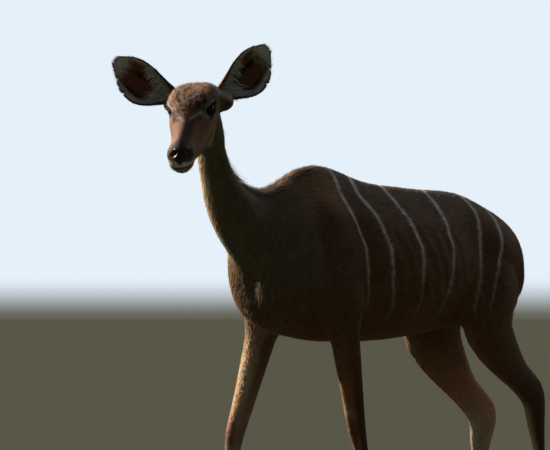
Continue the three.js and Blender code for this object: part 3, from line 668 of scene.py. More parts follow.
def face_tint(head, turned):
    """Brown and curly on the brow, tawny cheeks, a dark bridge, a white bar, pale lips and a wet nose."""
    across, hy, hz = head.T
    hx = np.abs(across)
    skin = np.tile(face_brown, (len(head), 1))
    brow = ramp(hz, 0.02, 0.05) * (1 - ramp(-hy, 0.20, 0.235))
    skin = mixed(skin, brow_brown, brow)
    curls = ramp(waves(head, 0.015, 8) + 1.1 * waves(head, 0.0075, 9), -0.18, 0.14)
    skin = mixed(skin, curl_brown, 0.92 * brow * curls)
    wedge = ramp(0.036 - np.abs(across - 0.002) - 0.45 * np.clip(-0.165 - hy, 0, 1), -0.008, 0.010)
    wedge *= ramp(-hy, 0.12, 0.19) * ramp(hz, 0.02, 0.05) * (1 - ramp(-hy, 0.222, 0.236))
    skin = mixed(skin, between_eyes_brown, 0.85 * wedge)
    skin = mixed(skin, cheek_tawny, 0.75 * ramp(-hy, 0.16, 0.2) * ramp(hz, -0.06, -0.02))
    bridge_middle = 0.012 - 0.003 * ramp(-hy, 0.32, 0.35)
    wide = 0.013 + 0.018 * ramp(-hy, 0.31, 0.345)
    bridge = 1 - ramp(np.abs(across - bridge_middle), 0.6 * wide, 1.5 * wide)
    bridge *= ramp(turned[:, 2], 0.1, 0.6) * ramp(-hy, 0.215, 0.235)
    skin = mixed(skin, bridge_grey, 0.9 * bridge)
    skin = mixed(skin, neck_grey, ramp(-hz, 0.03, 0.08) * (1 - ramp(-hy, 0.28, 0.31)))
    # Painted highlight: a thin pale line along the edge of each lower jaw, where it catches the light.
    jaw_edge_highlight = np.exp(-(((hy + 0.053 - 0.44 * (hz + 0.075)) / 0.0035) ** 2)) * ramp(hx, 0.008, 0.016)
    skin = mixed(skin, sand, 0.8 * jaw_edge_highlight * ramp(-hz, 0.055, 0.075) * (1 - ramp(-hz, 0.13, 0.15)))
    # Painted shade: a dark patch below each ear's root, where the ear shades the side of the head.
    below_ear_shade = (head * side_signs(head) - (0.088, -0.042, -0.012)) / 0.026
    skin = mixed(skin, below_ear_shade_brown, 0.85 * np.exp(-(below_ear_shade**2).sum(1)))
    skin = mixed(skin, front_hair_white, 0.9 * ear_front_share(head))
    bar_aside = across - 0.006
    bar_line = np.where(bar_aside < 0, -0.244 - 1.21 * bar_aside, -0.236 + 1.36 * bar_aside)
    bar = np.exp(-(((hy - bar_line) / 0.0072) ** 2)) * (0.85 + 0.5 * waves(head, 0.010, 7))
    bar *= ramp(np.abs(bar_aside), 0.003, 0.009) * (1 - ramp(np.abs(bar_aside), 0.034, 0.043))
    skin = mixed(skin, white, bar * ramp(turned[:, 2], 0.0, 0.4))
    lip_top = 0.015 + 0.30 * np.clip(across, 0, 0.04)
    lip = ramp(-hy, 0.322, 0.336) * ramp(-hz - lip_top, 0.0, 0.006)
    skin = mixed(skin, white, lip * (1 - ramp(-hz, 0.037, 0.042)))
    skin = mixed(skin, chin_sand, lip * ramp(-hz, 0.040, 0.046))
    beside = np.exp(-(((hx - 0.037) / 0.013) ** 2) - ((hz + 0.012) / 0.016) ** 2) * ramp(-hy, 0.312, 0.330)
    skin = mixed(skin, nostril_brown, 0.85 * beside)
    mouth = np.exp(-(((hz - mouth_level(hy)) / 0.0030) ** 2)) * ramp(-hy, 0.290, 0.320)
    skin = mixed(skin, mouth_black, 0.95 * mouth)
    aft, over, out, _ = about_eye(head)
    ring = np.sqrt(aft**2 + over**2)
    eye_side = (out > -0.004) & (hy < -0.08) & (hy > -0.20)
    skin = mixed(skin, lid_grey, 0.5 * eye_side * (1 - ramp(np.abs(ring - 2.0), 0.15, 0.40)))
    skin = mixed(skin, lid_black, eye_side * (1 - ramp(ring + 0.25 * over, 1.50, 1.80)))
    # Partly a pale eye ring, partly a painted highlight: a white arc on each upper lid, where the light
    # catches it.
    pale_lid_and_highlight = np.exp(-(((ring - 1.60) / 0.18) ** 2)) * ramp(over, 0.9, 1.35) * eye_side
    skin = mixed(skin, lid_white_and_highlight, 0.85 * pale_lid_and_highlight)
    corner = np.exp(-(((ring - 1.65) / 0.18) ** 2)) * ramp(-aft, 0.9, 1.4) * eye_side
    skin = mixed(skin, corner_sand, 0.75 * corner)
    return mixed(skin, wet_grey, wet_nose(head))


def ear_front_share(head):
    """1 on the pale hair between the brow and the front of each ear's root."""
    inner_end, outer_end = np.array((0.062, -0.044, 0.036)), np.array((0.098, -0.026, 0.006))
    on_left = head * side_signs(head)
    along = np.clip((on_left[:, :1] - inner_end[0]) / (outer_end[0] - inner_end[0]), 0, 1)
    away = np.linalg.norm(on_left - inner_end - (outer_end - inner_end) * along, axis=1)
    return (1 - ramp(away, 0.006, 0.024)) * (0.75 + 0.6 * waves(head, 0.009, 11))


def wet_nose(head):
    """1 on the bare wet pad, which is wide between the nostrils and narrows down to the lip."""
    hy, hz = head[:, 1], head[:, 2]
    middle = np.interp(hz, (-0.030, -0.020, -0.005, 0.013), (0.003, 0.005, 0.009, 0.008))
    half_levels = (-0.031, -0.026, -0.018, -0.009, 0.001, 0.014)
    half = np.interp(hz, half_levels, (0.003, 0.006, 0.013, 0.020, 0.024, 0.022))
    aside = np.abs(head[:, 0] - middle)
    edge = np.minimum(np.minimum(half - aside, hz + 0.032), 0.017 - 0.15 * aside - hz)
    return ramp(edge, -0.001, 0.002) * ramp(-hy, 0.326, 0.334)


def paint(thing, name, values):
    """Puts a colour or a number on each point of a thing, under a name that its material reads."""
    layer = thing.data.attributes.new(name, "FLOAT_COLOR" if values.ndim == 2 else "FLOAT", "POINT")
    if values.ndim == 2:
        full = np.ones((len(values), 4), dtype=np.float32)
        full[:, :3] = values
        layer.data.foreach_set("color", full.ravel())
    else:
        layer.data.foreach_set("value", values.astype(np.float32))


ear_back_brown = colour(150, 104, 66)
cup_brown = colour(126, 78, 48)
cup_shadow = colour(48, 27, 18)
cup_rim_grey = colour(232, 230, 212)
cup_hair_grey = colour(226, 222, 204)


def ear_tint(share, across, inside, places):
    """Brown behind, with a dark rim; in the cup chestnut, grey near the rim, pale at its front and base."""
    edge = np.maximum(np.abs(across), 1.6 * share - 0.62)
    behind = np.tile(ear_back_brown, (len(share), 1))
    behind = mixed(behind, dark_brown, 0.7 * ramp(share, 0.45, 0.95))
    cup = np.tile(cup_brown, (len(share), 1))
    veins = ramp(np.cos(across * 9 + 0.6) + 0.8 * waves(places, 0.05, 10), 0.0, 0.9)
    cup = mixed(cup, cup_shadow, 0.9 * veins * ramp(share, 0.05, 0.3))
    cup = mixed(cup, cup_rim_grey, ramp(edge + 0.10 * waves(places, 0.02, 5), 0.54, 0.84))
    cup = mixed(cup, cup_hair_grey, ramp(-across, 0.10, 0.6) * (1 - ramp(share, 0.36, 0.66)))
    cup = mixed(cup, cup_hair_grey, 1 - ramp(share + 0.10 * across, 0.16, 0.40))
    tint = behind * (1 - inside[:, None]) + cup * inside[:, None]
    return mixed(tint, black, 0.9 * ramp(edge, 0.93, 0.975))


def values_of(thing, name):
    values = np.empty(len(thing.data.vertices), dtype=np.float32)
    thing.data.attributes[name].data.foreach_get("value", values)
    return values.astype(float)


places = points_of(hide)
normals = normals_of(hide)
on_head = in_head(places)
ear_share = values_of(hide, "ear_share")
ear_across = values_of(hide, "ear_across")
ear_inside = values_of(hide, "ear_inside")
on_ear = ear_share > 0
tints = coat_tint(places, normals)
tints[on_ear] = ear_tint(ear_share[on_ear], ear_across[on_ear], ear_inside[on_ear], places[on_ear])
paint(hide, "tint", np.clip(tints, 0, 1))
paint(hide, "wet", wet_nose(on_head) * ~on_ear)

# The finish of the coat: its tint, lighter and darker from hair to hair, with a soft sheen
def add_attribute(tree, name):
    node = tree.nodes.new("ShaderNodeAttribute")
    node.attribute_name = name
    return node


coat, tree, surface = add_finish(
    "coat", Roughness=0.62, Specular_IOR_Level=0.15, Sheen_Weight=0.05, Sheen_Roughness=0.4
)
tree.links.new(add_attribute(tree, "tint").outputs["Color"], surface.inputs["Base Color"])

# The finish of the skin below it: the same tint and a bump of fine hair, and on the nose wet pebbles
hide_skin, tree, surface = add_finish("hide_skin", Specular_IOR_Level=0.4)
tint_node = add_attribute(tree, "tint")
wet_node = add_attribute(tree, "wet")
place_node = add_node(tree, "TexCoord")
hair_noise = add_node(tree, "TexNoise", Scale=420, Detail=4)
tree.links.new(place_node.outputs["Object"], hair_noise.inputs["Vector"])
pebbles = add_node(tree, "TexVoronoi", Scale=520)
tree.links.new(place_node.outputs["Object"], pebbles.inputs["Vector"])
darker = add_node(tree, "MapRange", From_Min=0.3, From_Max=0.7, To_Min=0.62, To_Max=1.05)
tree.links.new(hair_noise.outputs["Fac"], darker.inputs["Value"])
tinted = add_node(tree, "VectorMath")
tinted.operation = "SCALE"
tree.links.new(tint_node.outputs["Color"], tinted.inputs[0])
tree.links.new(darker.outputs["Result"], tinted.inputs["Scale"])
tree.links.new(tinted.outputs["Vector"], surface.inputs["Base Color"])
gloss = add_node(tree, "MapRange", To_Min=0.8, To_Max=0.20)
tree.links.new(wet_node.outputs["Fac"], gloss.inputs["Value"])
tree.links.new(gloss.outputs["Result"], surface.inputs["Roughness"])
relief = add_node(tree, "Mix")
tree.links.new(wet_node.outputs["Fac"], relief.inputs[0])
tree.links.new(hair_noise.outputs["Fac"], relief.inputs[2])
tree.links.new(pebbles.outputs["Distance"], relief.inputs[3])
bump = add_node(tree, "Bump", Strength=0.5, Distance=0.0012)
tree.links.new(relief.outputs[0], bump.inputs["Height"])
tree.links.new(bump.outputs["Normal"], surface.inputs["Normal"])
hide.data.materials.append(hide_skin)

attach(hide, "root")
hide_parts(*flesh, *ear_lie)

# The eyes
# Wet dark balls that lie deep in their lids. Each is a smooth sphere with the clear bulge of the cornea
# ahead, and its iris, a very dark brown round a wide level pupil, is painted by the way from its middle.
eye_paint, tree, surface = add_finish("wet_eye", Roughness=0.07, Specular_IOR_Level=0.35)
iris_node = add_attribute(tree, "iris")
iris_ramp = add_node(tree, "ValToRGB")
iris_ramp.color_ramp.elements[0].color = (0.004, 0.003, 0.003, 1)
iris_ramp.color_ramp.elements[0].position = 0.30
iris_ramp.color_ramp.elements[1].color = (0.020, 0.009, 0.005, 1)
iris_ramp.color_ramp.elements[1].position = 0.42
rim = iris_ramp.color_ramp.elements.new(0.80)
rim.color = (0.010, 0.005, 0.004, 1)
white_of_eye = iris_ramp.color_ramp.elements.new(0.90)
white_of_eye.color = (0.014, 0.009, 0.007, 1)
tree.links.new(iris_node.outputs["Fac"], iris_ramp.inputs["Fac"])
tree.links.new(iris_ramp.outputs["Color"], surface.inputs["Base Color"])
for eye, centre, side in zip(eyes, eye_places, (1, -1)):
    bpy.ops.object.select_all(action="DESELECT")
    bpy.ops.mesh.primitive_uv_sphere_add(segments=64, ring_count=32, radius=eye_radius, location=centre)
    ball = bpy.context.object
    ball.name = eye + "_ball"
    bpy.ops.object.transform_apply(location=True)
    bpy.ops.object.shade_smooth()
    look = head_axes @ (eye_look * (side, 1, 1))
    level = np.cross(look, (0, 0, 1))
    level = level / np.linalg.norm(level)
    away = (points_of(ball) - np.array(centre)) / eye_radius
    ahead = away @ look
    place_points(ball, np.array(centre) + away * (eye_radius * (1 + 0.05 * ramp(ahead, 0.80, 0.97)))[:, None])
    wide = away @ level
    high = np.sqrt(np.clip(1 - ahead**2 - wide**2, 0, None))
    spread = np.sqrt((wide * 0.85) ** 2 + (high * 1.5) ** 2)
    inner = np.where(spread < 0.35, spread, np.maximum(0.36, np.sqrt(wide**2 + high**2)))
    paint(ball, "iris", np.where(ahead > 0, np.clip(inner, 0, 1), 1.0))
    ball.data.materials.append(eye_paint)
    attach(ball, "root")
    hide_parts(eye)

# The lie of the coat
# Hair lies back and down along the body, down the legs, and on the face up from between the eyes
# and down to the muzzle. Each guide is a place and the way that the hair lies there.
leg_bones = { # the joints of each leg down to the foot
    "left_foreleg": (
        (0.047, -0.162, 1.080), (0.107, -0.114, 0.762), (0.083, -0.029, 0.443), (0.083, 0.057, 0.142)
    ),
    "right_foreleg": (
        (-0.085, -0.192, 1.080), (-0.143, -0.210, 0.745), (-0.111, -0.368, 0.427), (-0.111, -0.426, 0.126)
    ),
    "left_hindleg": (
        (0.063, 0.633, 1.030), (0.109, 0.568, 0.790), (0.094, 0.823, 0.510), (0.089, 0.878, 0.180)
    ),
    "right_hindleg": (
        (-0.101, 0.638, 1.030), (-0.145, 0.603, 0.760), (-0.127, 0.829, 0.440), (-0.123, 0.776, 0.128)
    ),
}
body_lie = [ # on the left side; x is mirrored for the right
    ((0.00, -0.12, 1.20), (0, 0.95, -0.05)),
    ((0.10, -0.12, 1.00), (0, 0.55, -0.80)),
    ((0.12, -0.15, 0.85), (0, 0.35, -0.95)),
    ((0.02, -0.33, 0.85), (0, 0.25, -1.0)),
    ((0.03, -0.20, 0.72), (0, 1.0, -0.1)),
    ((0.00, 0.10, 1.19), (0, 1, 0)),
    ((0.17, 0.10, 0.95), (0, 0.92, -0.38)),
    ((0.02, 0.10, 0.71), (0, 1, 0)),
    ((0.00, 0.45, 1.19), (0, 1, -0.05)),
    ((0.15, 0.42, 0.95), (0, 0.80, -0.55)),
    ((0.03, 0.45, 0.75), (0, 1, 0.1)),
    ((0.08, 0.64, 1.10), (0, 0.75, -0.60)),
    ((0.14, 0.62, 0.93), (0, 0.40, -0.92)),
    ((0.00, 0.79, 1.06), (0, 0.5, -0.85)),
    ((0.05, 0.80, 0.90), (0, 0.1, -1.0)),
    ((0.00, 0.84, 0.80), (0, 0, -1)),
    ((0.05, -0.40, 1.00), (0, 0.45, -0.88)),
    ((0.04, -0.53, 1.17), (-0.05, 0.38, -0.92)),
    ((0.04, -0.59, 1.33), (-0.08, 0.32, -0.94)),
]
head_lie = [ # the same in the head's frame
    ((0.03, -0.02, 0.05), (0, 1, -0.3)),
    ((0.03, -0.09, 0.07), (0.2, 1, 0.1)),
    ((0.02, -0.145, 0.06), (0.3, 0.9, 0.1)),
    ((0.02, -0.20, 0.05), (0.2, -1, -0.1)),
    ((0.02, -0.27, 0.03), (0.1, -1, -0.1)),
    ((0.03, -0.32, -0.01), (0.1, -0.8, -0.6)),
    ((0.03, -0.34, -0.05), (0, -0.2, -1)),
    ((0.06, -0.15, -0.02), (0, 0.55, -0.8)),
    ((0.05, -0.22, -0.03), (0, 0.2, -1)),
    ((0.05, -0.11, -0.09), (0, 0.9, -0.5)),
    ((0.02, -0.27, -0.08), (0, 0.9, -0.3)),
    ((0.06, -0.06, -0.05), (0, 0.8, -0.6)),
]
guide_places, guide_ways = [], []
for joints in leg_bones.values():
    for upper, lower in zip(joints[1:-1], joints[2:]):
        for share in (0.1, 0.5, 0.9):
            guide_places.append(np.array(upper) + (np.array(lower) - np.array(upper)) * share)
            guide_ways.append(np.array(lower) - np.array(upper))
    guide_places.append(np.array(joints[-1]) - (0, 0, 0.06))
    guide_ways.append(np.array((0, 0, -1)))
for side in (1, -1):
    for place, way in body_lie:
        guide_places.append(np.array(place) * (side, 1, 1) + (trunk_middle, 0, 0))
        guide_ways.append(np.array(way) * (side, 1, 1))
    for place, way in head_lie:
        guide_places.append(from_head([np.array(place) * (side, 1, 1)])[0])
        guide_ways.append(head_axes @ (np.array(way) * (side, 1, 1)))
guide_places = np.array(guide_places)
guide_ways = np.array([way / np.linalg.norm(way) for way in guide_ways])


def laid_flat(ways, normals):
    """The ways turned down onto the hide, at unit length."""
    ways = ways - normals * (ways * normals).sum(1)[:, None]
    return ways / (np.linalg.norm(ways, axis=1)[:, None] + 1e-9)


def lie_of(places, normals):
    """Which way the hair lies at each place: the near guides' way, more so the nearer they are."""
    total = np.zeros_like(places)
    for place, way in zip(guide_places, guide_ways):
        apart = ((places - place) ** 2).sum(1) + 1e-4
        total += way / (apart**2)[:, None]
    return laid_flat(total, normals)


# The short coat
# Tufts of a few hairs stuck together, flat to the hide and overlapping like slates: short and fine
# on the face and shins, longer on the trunk. Each is a slim three-sided spike with its root sunk in.
hide.data.calc_loop_triangles()
triangle_count = len(hide.data.loop_triangles)
triangle_points = np.empty(triangle_count * 3, dtype=np.int32)
hide.data.loop_triangles.foreach_get("vertices", triangle_points)
triangle_points = triangle_points.reshape(-1, 3)
triangle_loops = np.empty(triangle_count * 3, dtype=np.int32)
hide.data.loop_triangles.foreach_get("loops", triangle_loops)
triangle_loops = triangle_loops.reshape(-1, 3)
unwrap = np.empty(len(hide.data.loops) * 2, dtype=np.float32)
hide.data.uv_layers["OFBake"].data.foreach_get("uv", unwrap)
unwrap = unwrap.reshape(-1, 2)
hide_places, hide_normals = points_of(hide), normals_of(hide)
corners = hide_places[triangle_points]
areas = np.linalg.norm(np.cross(corners[:, 1] - corners[:, 0], corners[:, 2] - corners[:, 0]), axis=1) / 2
middles = corners.mean(1)


def scattered(density, seed):
    """Roots on the hide, density for each of its triangles, and what lies under each root."""
    chance = np.random.default_rng(seed)
    counts = chance.poisson(density * areas)
    chosen = np.repeat(np.arange(triangle_count), counts)
    u, v = chance.random(len(chosen)), chance.random(len(chosen))
    over = u + v > 1
    u[over], v[over] = 1 - u[over], 1 - v[over]
    weights = np.stack([1 - u - v, u, v], 1)

    def blended(values, index):
        return (values[index[chosen]] * weights[:, :, None]).sum(1)

    normals = blended(hide_normals, triangle_points)
    extras = np.stack([ear_share, ear_across, ear_inside], 1)
    return {
        "place": blended(hide_places, triangle_points),
        "normal": normals / np.linalg.norm(normals, axis=1)[:, None],
        "uv": blended(unwrap, triangle_loops),
        "ear": blended(extras, triangle_points),
        "chance": chance,
    }


def chosen_of(roots, keep):
    return {key: value if key == "chance" else value[keep] for key, value in roots.items()}


def tint_of(roots, ahead=0.0):
    """The coat's tint at each root, or at places ahead of it along the tuft."""
    tint = coat_tint(roots["place"] + ahead, roots["normal"])
    share, across, inside = roots["ear"].T
    on = share > 0.0005
    tint[on] = ear_tint(share[on], across[on], np.round(inside[on]), roots["place"][on])
    return tint


def grow(name, roots, ways, lengths, halves, lifts, tints, rings=1, droop=0.0, tips=1.15, tip_tints=None):
    """One mesh of tufts. ways lie along the hide, lifts are radians off it, droop bends them back,
    and tips is how much brighter their ends are. One number may stand for all their halves."""
    normals, chance = roots["normal"], roots["chance"]
    count = len(normals)
    halves = np.broadcast_to(halves, count)
    sides = np.cross(normals, ways)
    sides = sides / (np.linalg.norm(sides, axis=1)[:, None] + 1e-9)
    grown = np.empty((count, rings * 3 + 1, 3))
    for ring in range(rings + 1):
        share = ring / rings
        lift = lifts * (1 - droop * share)
        spine = roots["place"] - normals * 0.0006
        rise = ways * np.cos(lift)[:, None] + normals * np.sin(lift)[:, None]
        spine = spine + rise * (lengths * share)[:, None]
        if ring == rings:
            grown[:, -1] = spine
            break
        half = halves * (1 - 0.55 * share**1.5)
        grown[:, ring * 3] = spine - sides * half[:, None]
        grown[:, ring * 3 + 1] = spine + sides * half[:, None]
        grown[:, ring * 3 + 2] = spine + normals * (0.8 * half)[:, None]
    faces = []
    for ring in range(rings - 1):
        low, high = ring * 3, ring * 3 + 3
        for k, j in ((0, 1), (1, 2), (2, 0)):
            faces += [(low + k, low + j, high + j), (low + k, high + j, high + k)]
    last = rings * 3 - 3
    faces += [(last, last + 1, rings * 3), (last + 1, last + 2, rings * 3), (last + 2, last, rings * 3)]
    faces = np.array(faces)
    stride = rings * 3 + 1
    index = (faces[None] + (np.arange(count) * stride)[:, None, None]).reshape(-1, 3)
    mesh = bpy.data.meshes.new(name)
    mesh.vertices.add(count * stride)
    mesh.vertices.foreach_set("co", grown.astype(np.float32).ravel())
    mesh.loops.add(index.size)
    mesh.loops.foreach_set("vertex_index", index.astype(np.int32).ravel())
    mesh.polygons.add(len(index))
    mesh.polygons.foreach_set("loop_start", np.arange(0, index.size, 3, dtype=np.int32))
    mesh.polygons.foreach_set("use_smooth", np.ones(len(index), dtype=bool))
    mesh.update()
    tuft = bpy.data.objects.new(name, mesh)
    bpy.context.collection.objects.link(tuft)
    patch = 0.003 * (np.linspace(0, 1, stride)[None, :, None] - 0.5) * np.array((1.0, -1.0))
    patch = patch + np.where(np.arange(stride) % 2, 0.001, -0.001)[None, :, None] * np.array((1.0, 1.0))
    spread = (roots["uv"][:, None, :] + patch).reshape(-1, 2)[index.ravel()]
    mesh.uv_layers.new(name="OFBake").data.foreach_set("uv", spread.astype(np.float32).ravel())
    bright = 1 + 0.28 * np.clip(chance.normal(size=count), -2, 2)
    along = np.array((0.85, 0.85, 0.95, tips))
    if rings > 1:
        along = np.repeat(np.linspace(0.80, tips, rings + 1), 3)[:stride]
    share = np.append(np.repeat(np.arange(rings) / rings, 3), 1.0)[None, :, None]
    ends = tints if tip_tints is None else tip_tints
    shaded = tints[:, None, :] * (1 - share) + ends[:, None, :] * share
    shaded = shaded * bright[:, None, None] * along[None, :, None]
    paint(tuft, "tint", np.clip(shaded, 0, 1).reshape(-1, 3))
    tilt = sides * chance.normal(0, 0.30, (count, 1)) + ways * chance.normal(0.10, 0.15, (count, 1))
    aim = normals + tilt
    aim = aim / np.linalg.norm(aim, axis=1)[:, None]
    own = np.empty(count * stride * 3, dtype=np.float32)
    mesh.vertex_normals.foreach_get("vector", own)
    as_hide = 0.8 # how far a tuft is shaded like the hide below it, rather than by its own faces
    blend = as_hide * np.repeat(aim, stride, axis=0) + (1 - as_hide) * own.reshape(-1, 3)
    mesh.normals_split_custom_set_from_vertices((blend / np.linalg.norm(blend, axis=1)[:, None]).tolist())
    mesh.materials.append(coat)
    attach(tuft, "root")
    return tuft


head_middles = in_head(middles)
face_share = head_share(head_middles)
ear_part = ear_share[triangle_points].max(1) > 0.0005
leg_share = 1 - ramp(middles[:, 2], 0.55, 0.74)
density = 130000 + 90000 * leg_share
density = density * (1 - face_share) + 330000 * face_share
density = np.where(ear_part, 190000, density)
density *= 1 - 0.97 * wet_nose(head_middles)
aft, over, out, apart = about_eye(head_middles)
density *= ~((aft**2 + over**2 < 1.05**2) & (out > 0) & (apart < 0.03**2))
roots = scattered(density, 11)
head_roots = in_head(roots["place"])
face = head_share(head_roots)
low = 1 - ramp(roots["place"][:, 2], 0.55, 0.76)
chance = roots["chance"]
lengths = 0.018 * (1 - 0.45 * low) * (1 - 0.62 * face)
halves = 0.00105 * (1 - 0.30 * low) * (1 - 0.50 * face)
on = roots["ear"][:, 0] > 0.0005
lengths = np.where(on, 0.011, lengths) * chance.uniform(0.7, 1.3, len(lengths))
halves = np.where(on, 0.0007, halves) * chance.uniform(0.8, 1.25, len(halves))
lifts = np.radians(8) * chance.uniform(0.4, 1.6, len(lengths)) * (1 - 0.2 * low)
ways = lie_of(roots["place"], roots["normal"])
for name in ear_lie:
    side = ear_lie[name][0]
    there = on & (head_roots[:, 0] * side > 0)
    axis = ear_axes(name)[0]
    ways[there] = axis - roots["normal"][there] * (roots["normal"][there] @ axis)[:, None]
curly = face * ramp(head_roots[:, 2], 0.02, 0.05) * (1 - ramp(-head_roots[:, 1], 0.20, 0.24)) * ~on
lengths = lengths * (1 + 0.5 * curly)
lifts = lifts * (1 + 4.0 * curly)
ways += (0.16 + 0.45 * curly[:, None]) * chance.normal(size=ways.shape)
ways = laid_flat(ways, roots["normal"])
tints = tint_of(roots, ways * (0.45 * lengths)[:, None])
tip_tints = tint_of(roots, ways * (0.95 * lengths)[:, None])
piece_size = 62000 # tufts, so that a piece stays under 200,000 triangles
order = np.argsort(roots["place"][:, 1], kind="stable")
for number, start in enumerate(range(0, len(order), piece_size)):
    part = order[start : start + piece_size]
    grow(f"coat_{number}", chosen_of(roots, part), ways[part], lengths[part], halves[part], lifts[part],
         tints[part], tip_tints=tip_tints[part])

# The mane
# A short upright crest of stiff hair runs from between the ears down the nape and over the withers,
# and dies out along the back. It is dark, with paler tips.
middle_normals = hide_normals[triangle_points].mean(1)
mane_share = crest_share(middles, middle_normals)
roots = scattered(260000 * np.clip(mane_share - 0.12, 0, 1) * ~ear_part, 21)
chance = roots["chance"]
lie = lie_of(roots["place"], roots["normal"])
along = roots["place"][:, 1]
lengths = 0.022 + 0.012 * ramp(along, -0.66, -0.50) - 0.018 * ramp(along, -0.34, 0.05)
lengths = lengths * chance.uniform(0.55, 1.6, len(along))
lifts = np.radians(46 - 32 * ramp(along, -0.42, -0.15)) * chance.uniform(0.7, 1.25, len(along))
ways = laid_flat(lie + 0.20 * chance.normal(size=lie.shape), roots["normal"])
mane_brown, mane_tawny = colour(66, 50, 38), colour(128, 100, 74)
tints = np.tile(mane_brown, (len(along), 1))
tints = mixed(tints, mane_tawny, (chance.random(len(along)) < 0.25) * 0.8)
grow("mane", roots, ways, lengths, 0.0009, lifts, tints, rings=2, droop=0.45, tips=1.6)

# Long hair in the ears
# Pale locks of soft hair, which keep dust and flies out of the cup. They are rooted in the hide inside
# its front edge and base, and lie combed across it.
lock_white, lock_brown = colour(250, 247, 238), colour(140, 128, 104)
middle_share, middle_across, middle_inside = (
    values[triangle_points].mean(1) for values in (ear_share, ear_across, ear_inside)
)
for name, (side, _, _) in ear_lie.items():
    axis, mouth, edge = ear_axes(name)
    front = ramp(-middle_across, 0.12, 0.55) * (1 - ramp(middle_share, 0.40, 0.62))
    base = (1 - ramp(middle_share, 0.16, 0.34)) * (1 - ramp(middle_across, 0.4, 0.9))
    zone = np.maximum(front, base) * (middle_inside > 0.99) * (middle_share > 0.004)
    roots = scattered(130000 * zone * (head_middles[:, 0] * side > 0), 31 + side)
    chance = roots["chance"]
    count = len(roots["place"])
    ways = laid_flat(edge * 0.85 + axis * 0.35 + 0.16 * chance.normal(size=(count, 3)), roots["normal"])
    lengths = chance.uniform(0.024, 0.048, count) * (1 - 0.5 * ramp(roots["ear"][:, 0], 0.30, 0.55))
    lifts = np.radians(chance.uniform(10, 34, count))
    tints = np.tile(lock_white, (count, 1))
    tints = mixed(tints, lock_brown, chance.random(count) * 0.7)
    grow(name + "_hair", roots, ways, lengths, 0.0010, lifts, tints, rings=2, droop=0.5, tips=1.2)

# The brush of the tail
# Hair that grows longer down the tail: brown above, white below and at the sides, black at the end. It
# hangs from the thin tail of the hide, which lies deeper in its coat than the rest.
roots = scattered(90000 * tail_share(middles), 41)
chance = roots["chance"]
count = len(roots["place"])
ways = laid_flat(np.array((0, 0, -1.0)) + 0.12 * chance.normal(size=(count, 3)), roots["normal"])
lengths = (0.030 + 0.024 * (1 - ramp(roots["place"][:, 2], 0.68, 0.95))) * chance.uniform(0.7, 1.2, count)
lifts = np.radians(chance.uniform(6, 18, count))
grow("tail_brush", roots, ways, lengths, 0.0011, lifts, tint_of(roots), rings=2, droop=0.6)

# Eyelashes and whiskers
# Stiff black lashes stand on the edge of each upper lid, and a few dark whiskers on lips and chin. Each
# is one thin bent hair, rooted in the hide.
lash_zone = (np.abs(np.hypot(aft, over) - 1.10) < 0.08) * ramp(over, 0.0, 0.4) * (out > 0) * (apart < 0.04**2)
roots = scattered(1400000 * lash_zone, 51)
chance = roots["chance"]
count = len(roots["place"])
lash_roots = in_head(roots["place"])
ways = lid_up + lid_along * 0.7 * about_eye(lash_roots)[0][:, None] + 0.15 * chance.normal(size=(count, 3))
ways = ways * side_signs(lash_roots)
ways = laid_flat(ways @ head_axes.T, roots["normal"])
lengths = chance.uniform(0.009, 0.015, count)
lifts = np.radians(chance.uniform(50, 75, count))
black_hairs = np.tile(black, (count, 1))
grow("eyelashes", roots, ways, lengths, 0.00045, lifts, black_hairs, rings=2, droop=0.2)

chin_zone = ramp(-head_middles[:, 1], 0.31, 0.33) * ramp(-head_middles[:, 2], 0.012, 0.03) * face_share
roots = scattered(6000 * chin_zone * (1 - wet_nose(head_middles)), 52)
chance = roots["chance"]
count = len(roots["place"])
ways = lie_of(roots["place"], roots["normal"])
lengths = chance.uniform(0.006, 0.014, count)
lifts = np.radians(chance.uniform(30, 60, count))
dark_hairs = np.tile(dark_brown, (count, 1))
grow("whiskers", roots, ways, lengths, 0.00035, lifts, dark_hairs, rings=2, droop=0.3)

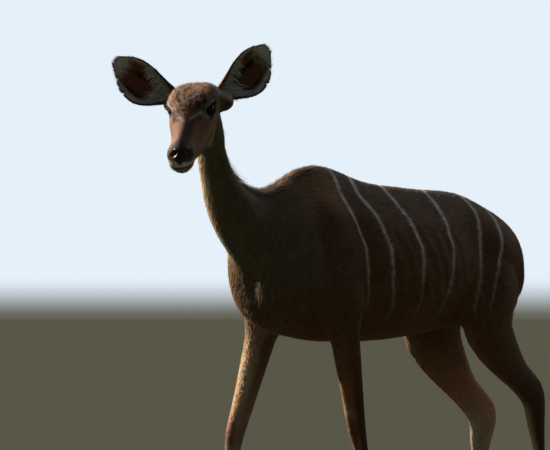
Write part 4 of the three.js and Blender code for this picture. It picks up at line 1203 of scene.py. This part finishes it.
# The claws
# Each foot has two hooves of dark horn, grown in rings from the coronet down, and two small dewclaws
# behind the fetlock. They keep the shape of the plain solids, with their edges rounded by wear.
horn, tree, surface = add_finish("dark_horn", Roughness=0.42)
place_node = add_node(tree, "TexCoord")
grain_place = add_node(tree, "Mapping", Scale=(1, 1, 0.12))
tree.links.new(place_node.outputs["Object"], grain_place.inputs["Vector"])
grain = add_node(tree, "TexNoise", Scale=380, Detail=3)
tree.links.new(grain_place.outputs["Vector"], grain.inputs["Vector"])
growth = add_node(tree, "TexWave", Scale=42, Distortion=1.5)
growth.bands_direction = "Z"
tree.links.new(place_node.outputs["Object"], growth.inputs["Vector"])
horn_tone = add_node(tree, "ValToRGB")
horn_tone.color_ramp.elements[0].color = (0.010, 0.008, 0.007, 1)
horn_tone.color_ramp.elements[0].position = 0.3
horn_tone.color_ramp.elements[1].color = (0.060, 0.048, 0.038, 1)
horn_tone.color_ramp.elements[1].position = 0.75
tree.links.new(grain.outputs["Fac"], horn_tone.inputs["Fac"])
tree.links.new(horn_tone.outputs["Color"], surface.inputs["Base Color"])
growth_bump = add_node(tree, "Bump", Strength=0.35, Distance=0.0010)
tree.links.new(growth.outputs["Fac"], growth_bump.inputs["Height"])
grain_bump = add_node(tree, "Bump", Strength=0.3, Distance=0.0006)
tree.links.new(grain.outputs["Fac"], grain_bump.inputs["Height"])
tree.links.new(growth_bump.outputs["Normal"], grain_bump.inputs["Normal"])
tree.links.new(grain_bump.outputs["Normal"], surface.inputs["Normal"])
claw_grain = {"claw": 0.0018, "dewclaw": 0.0012}
for leg in leg_bones:
    for place in ("outer", "inner"):
        for kind, grain_size in claw_grain.items():
            node = f"{leg}_{place}_{kind}"
            claw = nodes[node].copy()
            claw.data = nodes[node].data.copy()
            claw.name = node + "_horn"
            claw.parent = None
            claw.matrix_world = Matrix.Identity(4)
            claw.data.materials.clear()
            bpy.context.collection.objects.link(claw)
            bpy.ops.object.select_all(action="DESELECT")
            claw.select_set(True)
            bpy.context.view_layer.objects.active = claw
            bpy.ops.object.mode_set(mode="EDIT")
            bpy.ops.mesh.select_all(action="SELECT")
            bpy.ops.mesh.remove_doubles(threshold=1e-5)
            bpy.ops.object.mode_set(mode="OBJECT")
            remesh = claw.modifiers.new("remesh", "REMESH")
            remesh.mode = "VOXEL"
            remesh.voxel_size = grain_size
            remesh.use_smooth_shade = True
            bpy.ops.object.modifier_apply(modifier="remesh")
            place_points(claw, relaxed(claw, 6, np.full(len(claw.data.vertices), 0.5)))
            claw.data.materials.append(horn)
            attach(claw, "root")
            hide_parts(node)
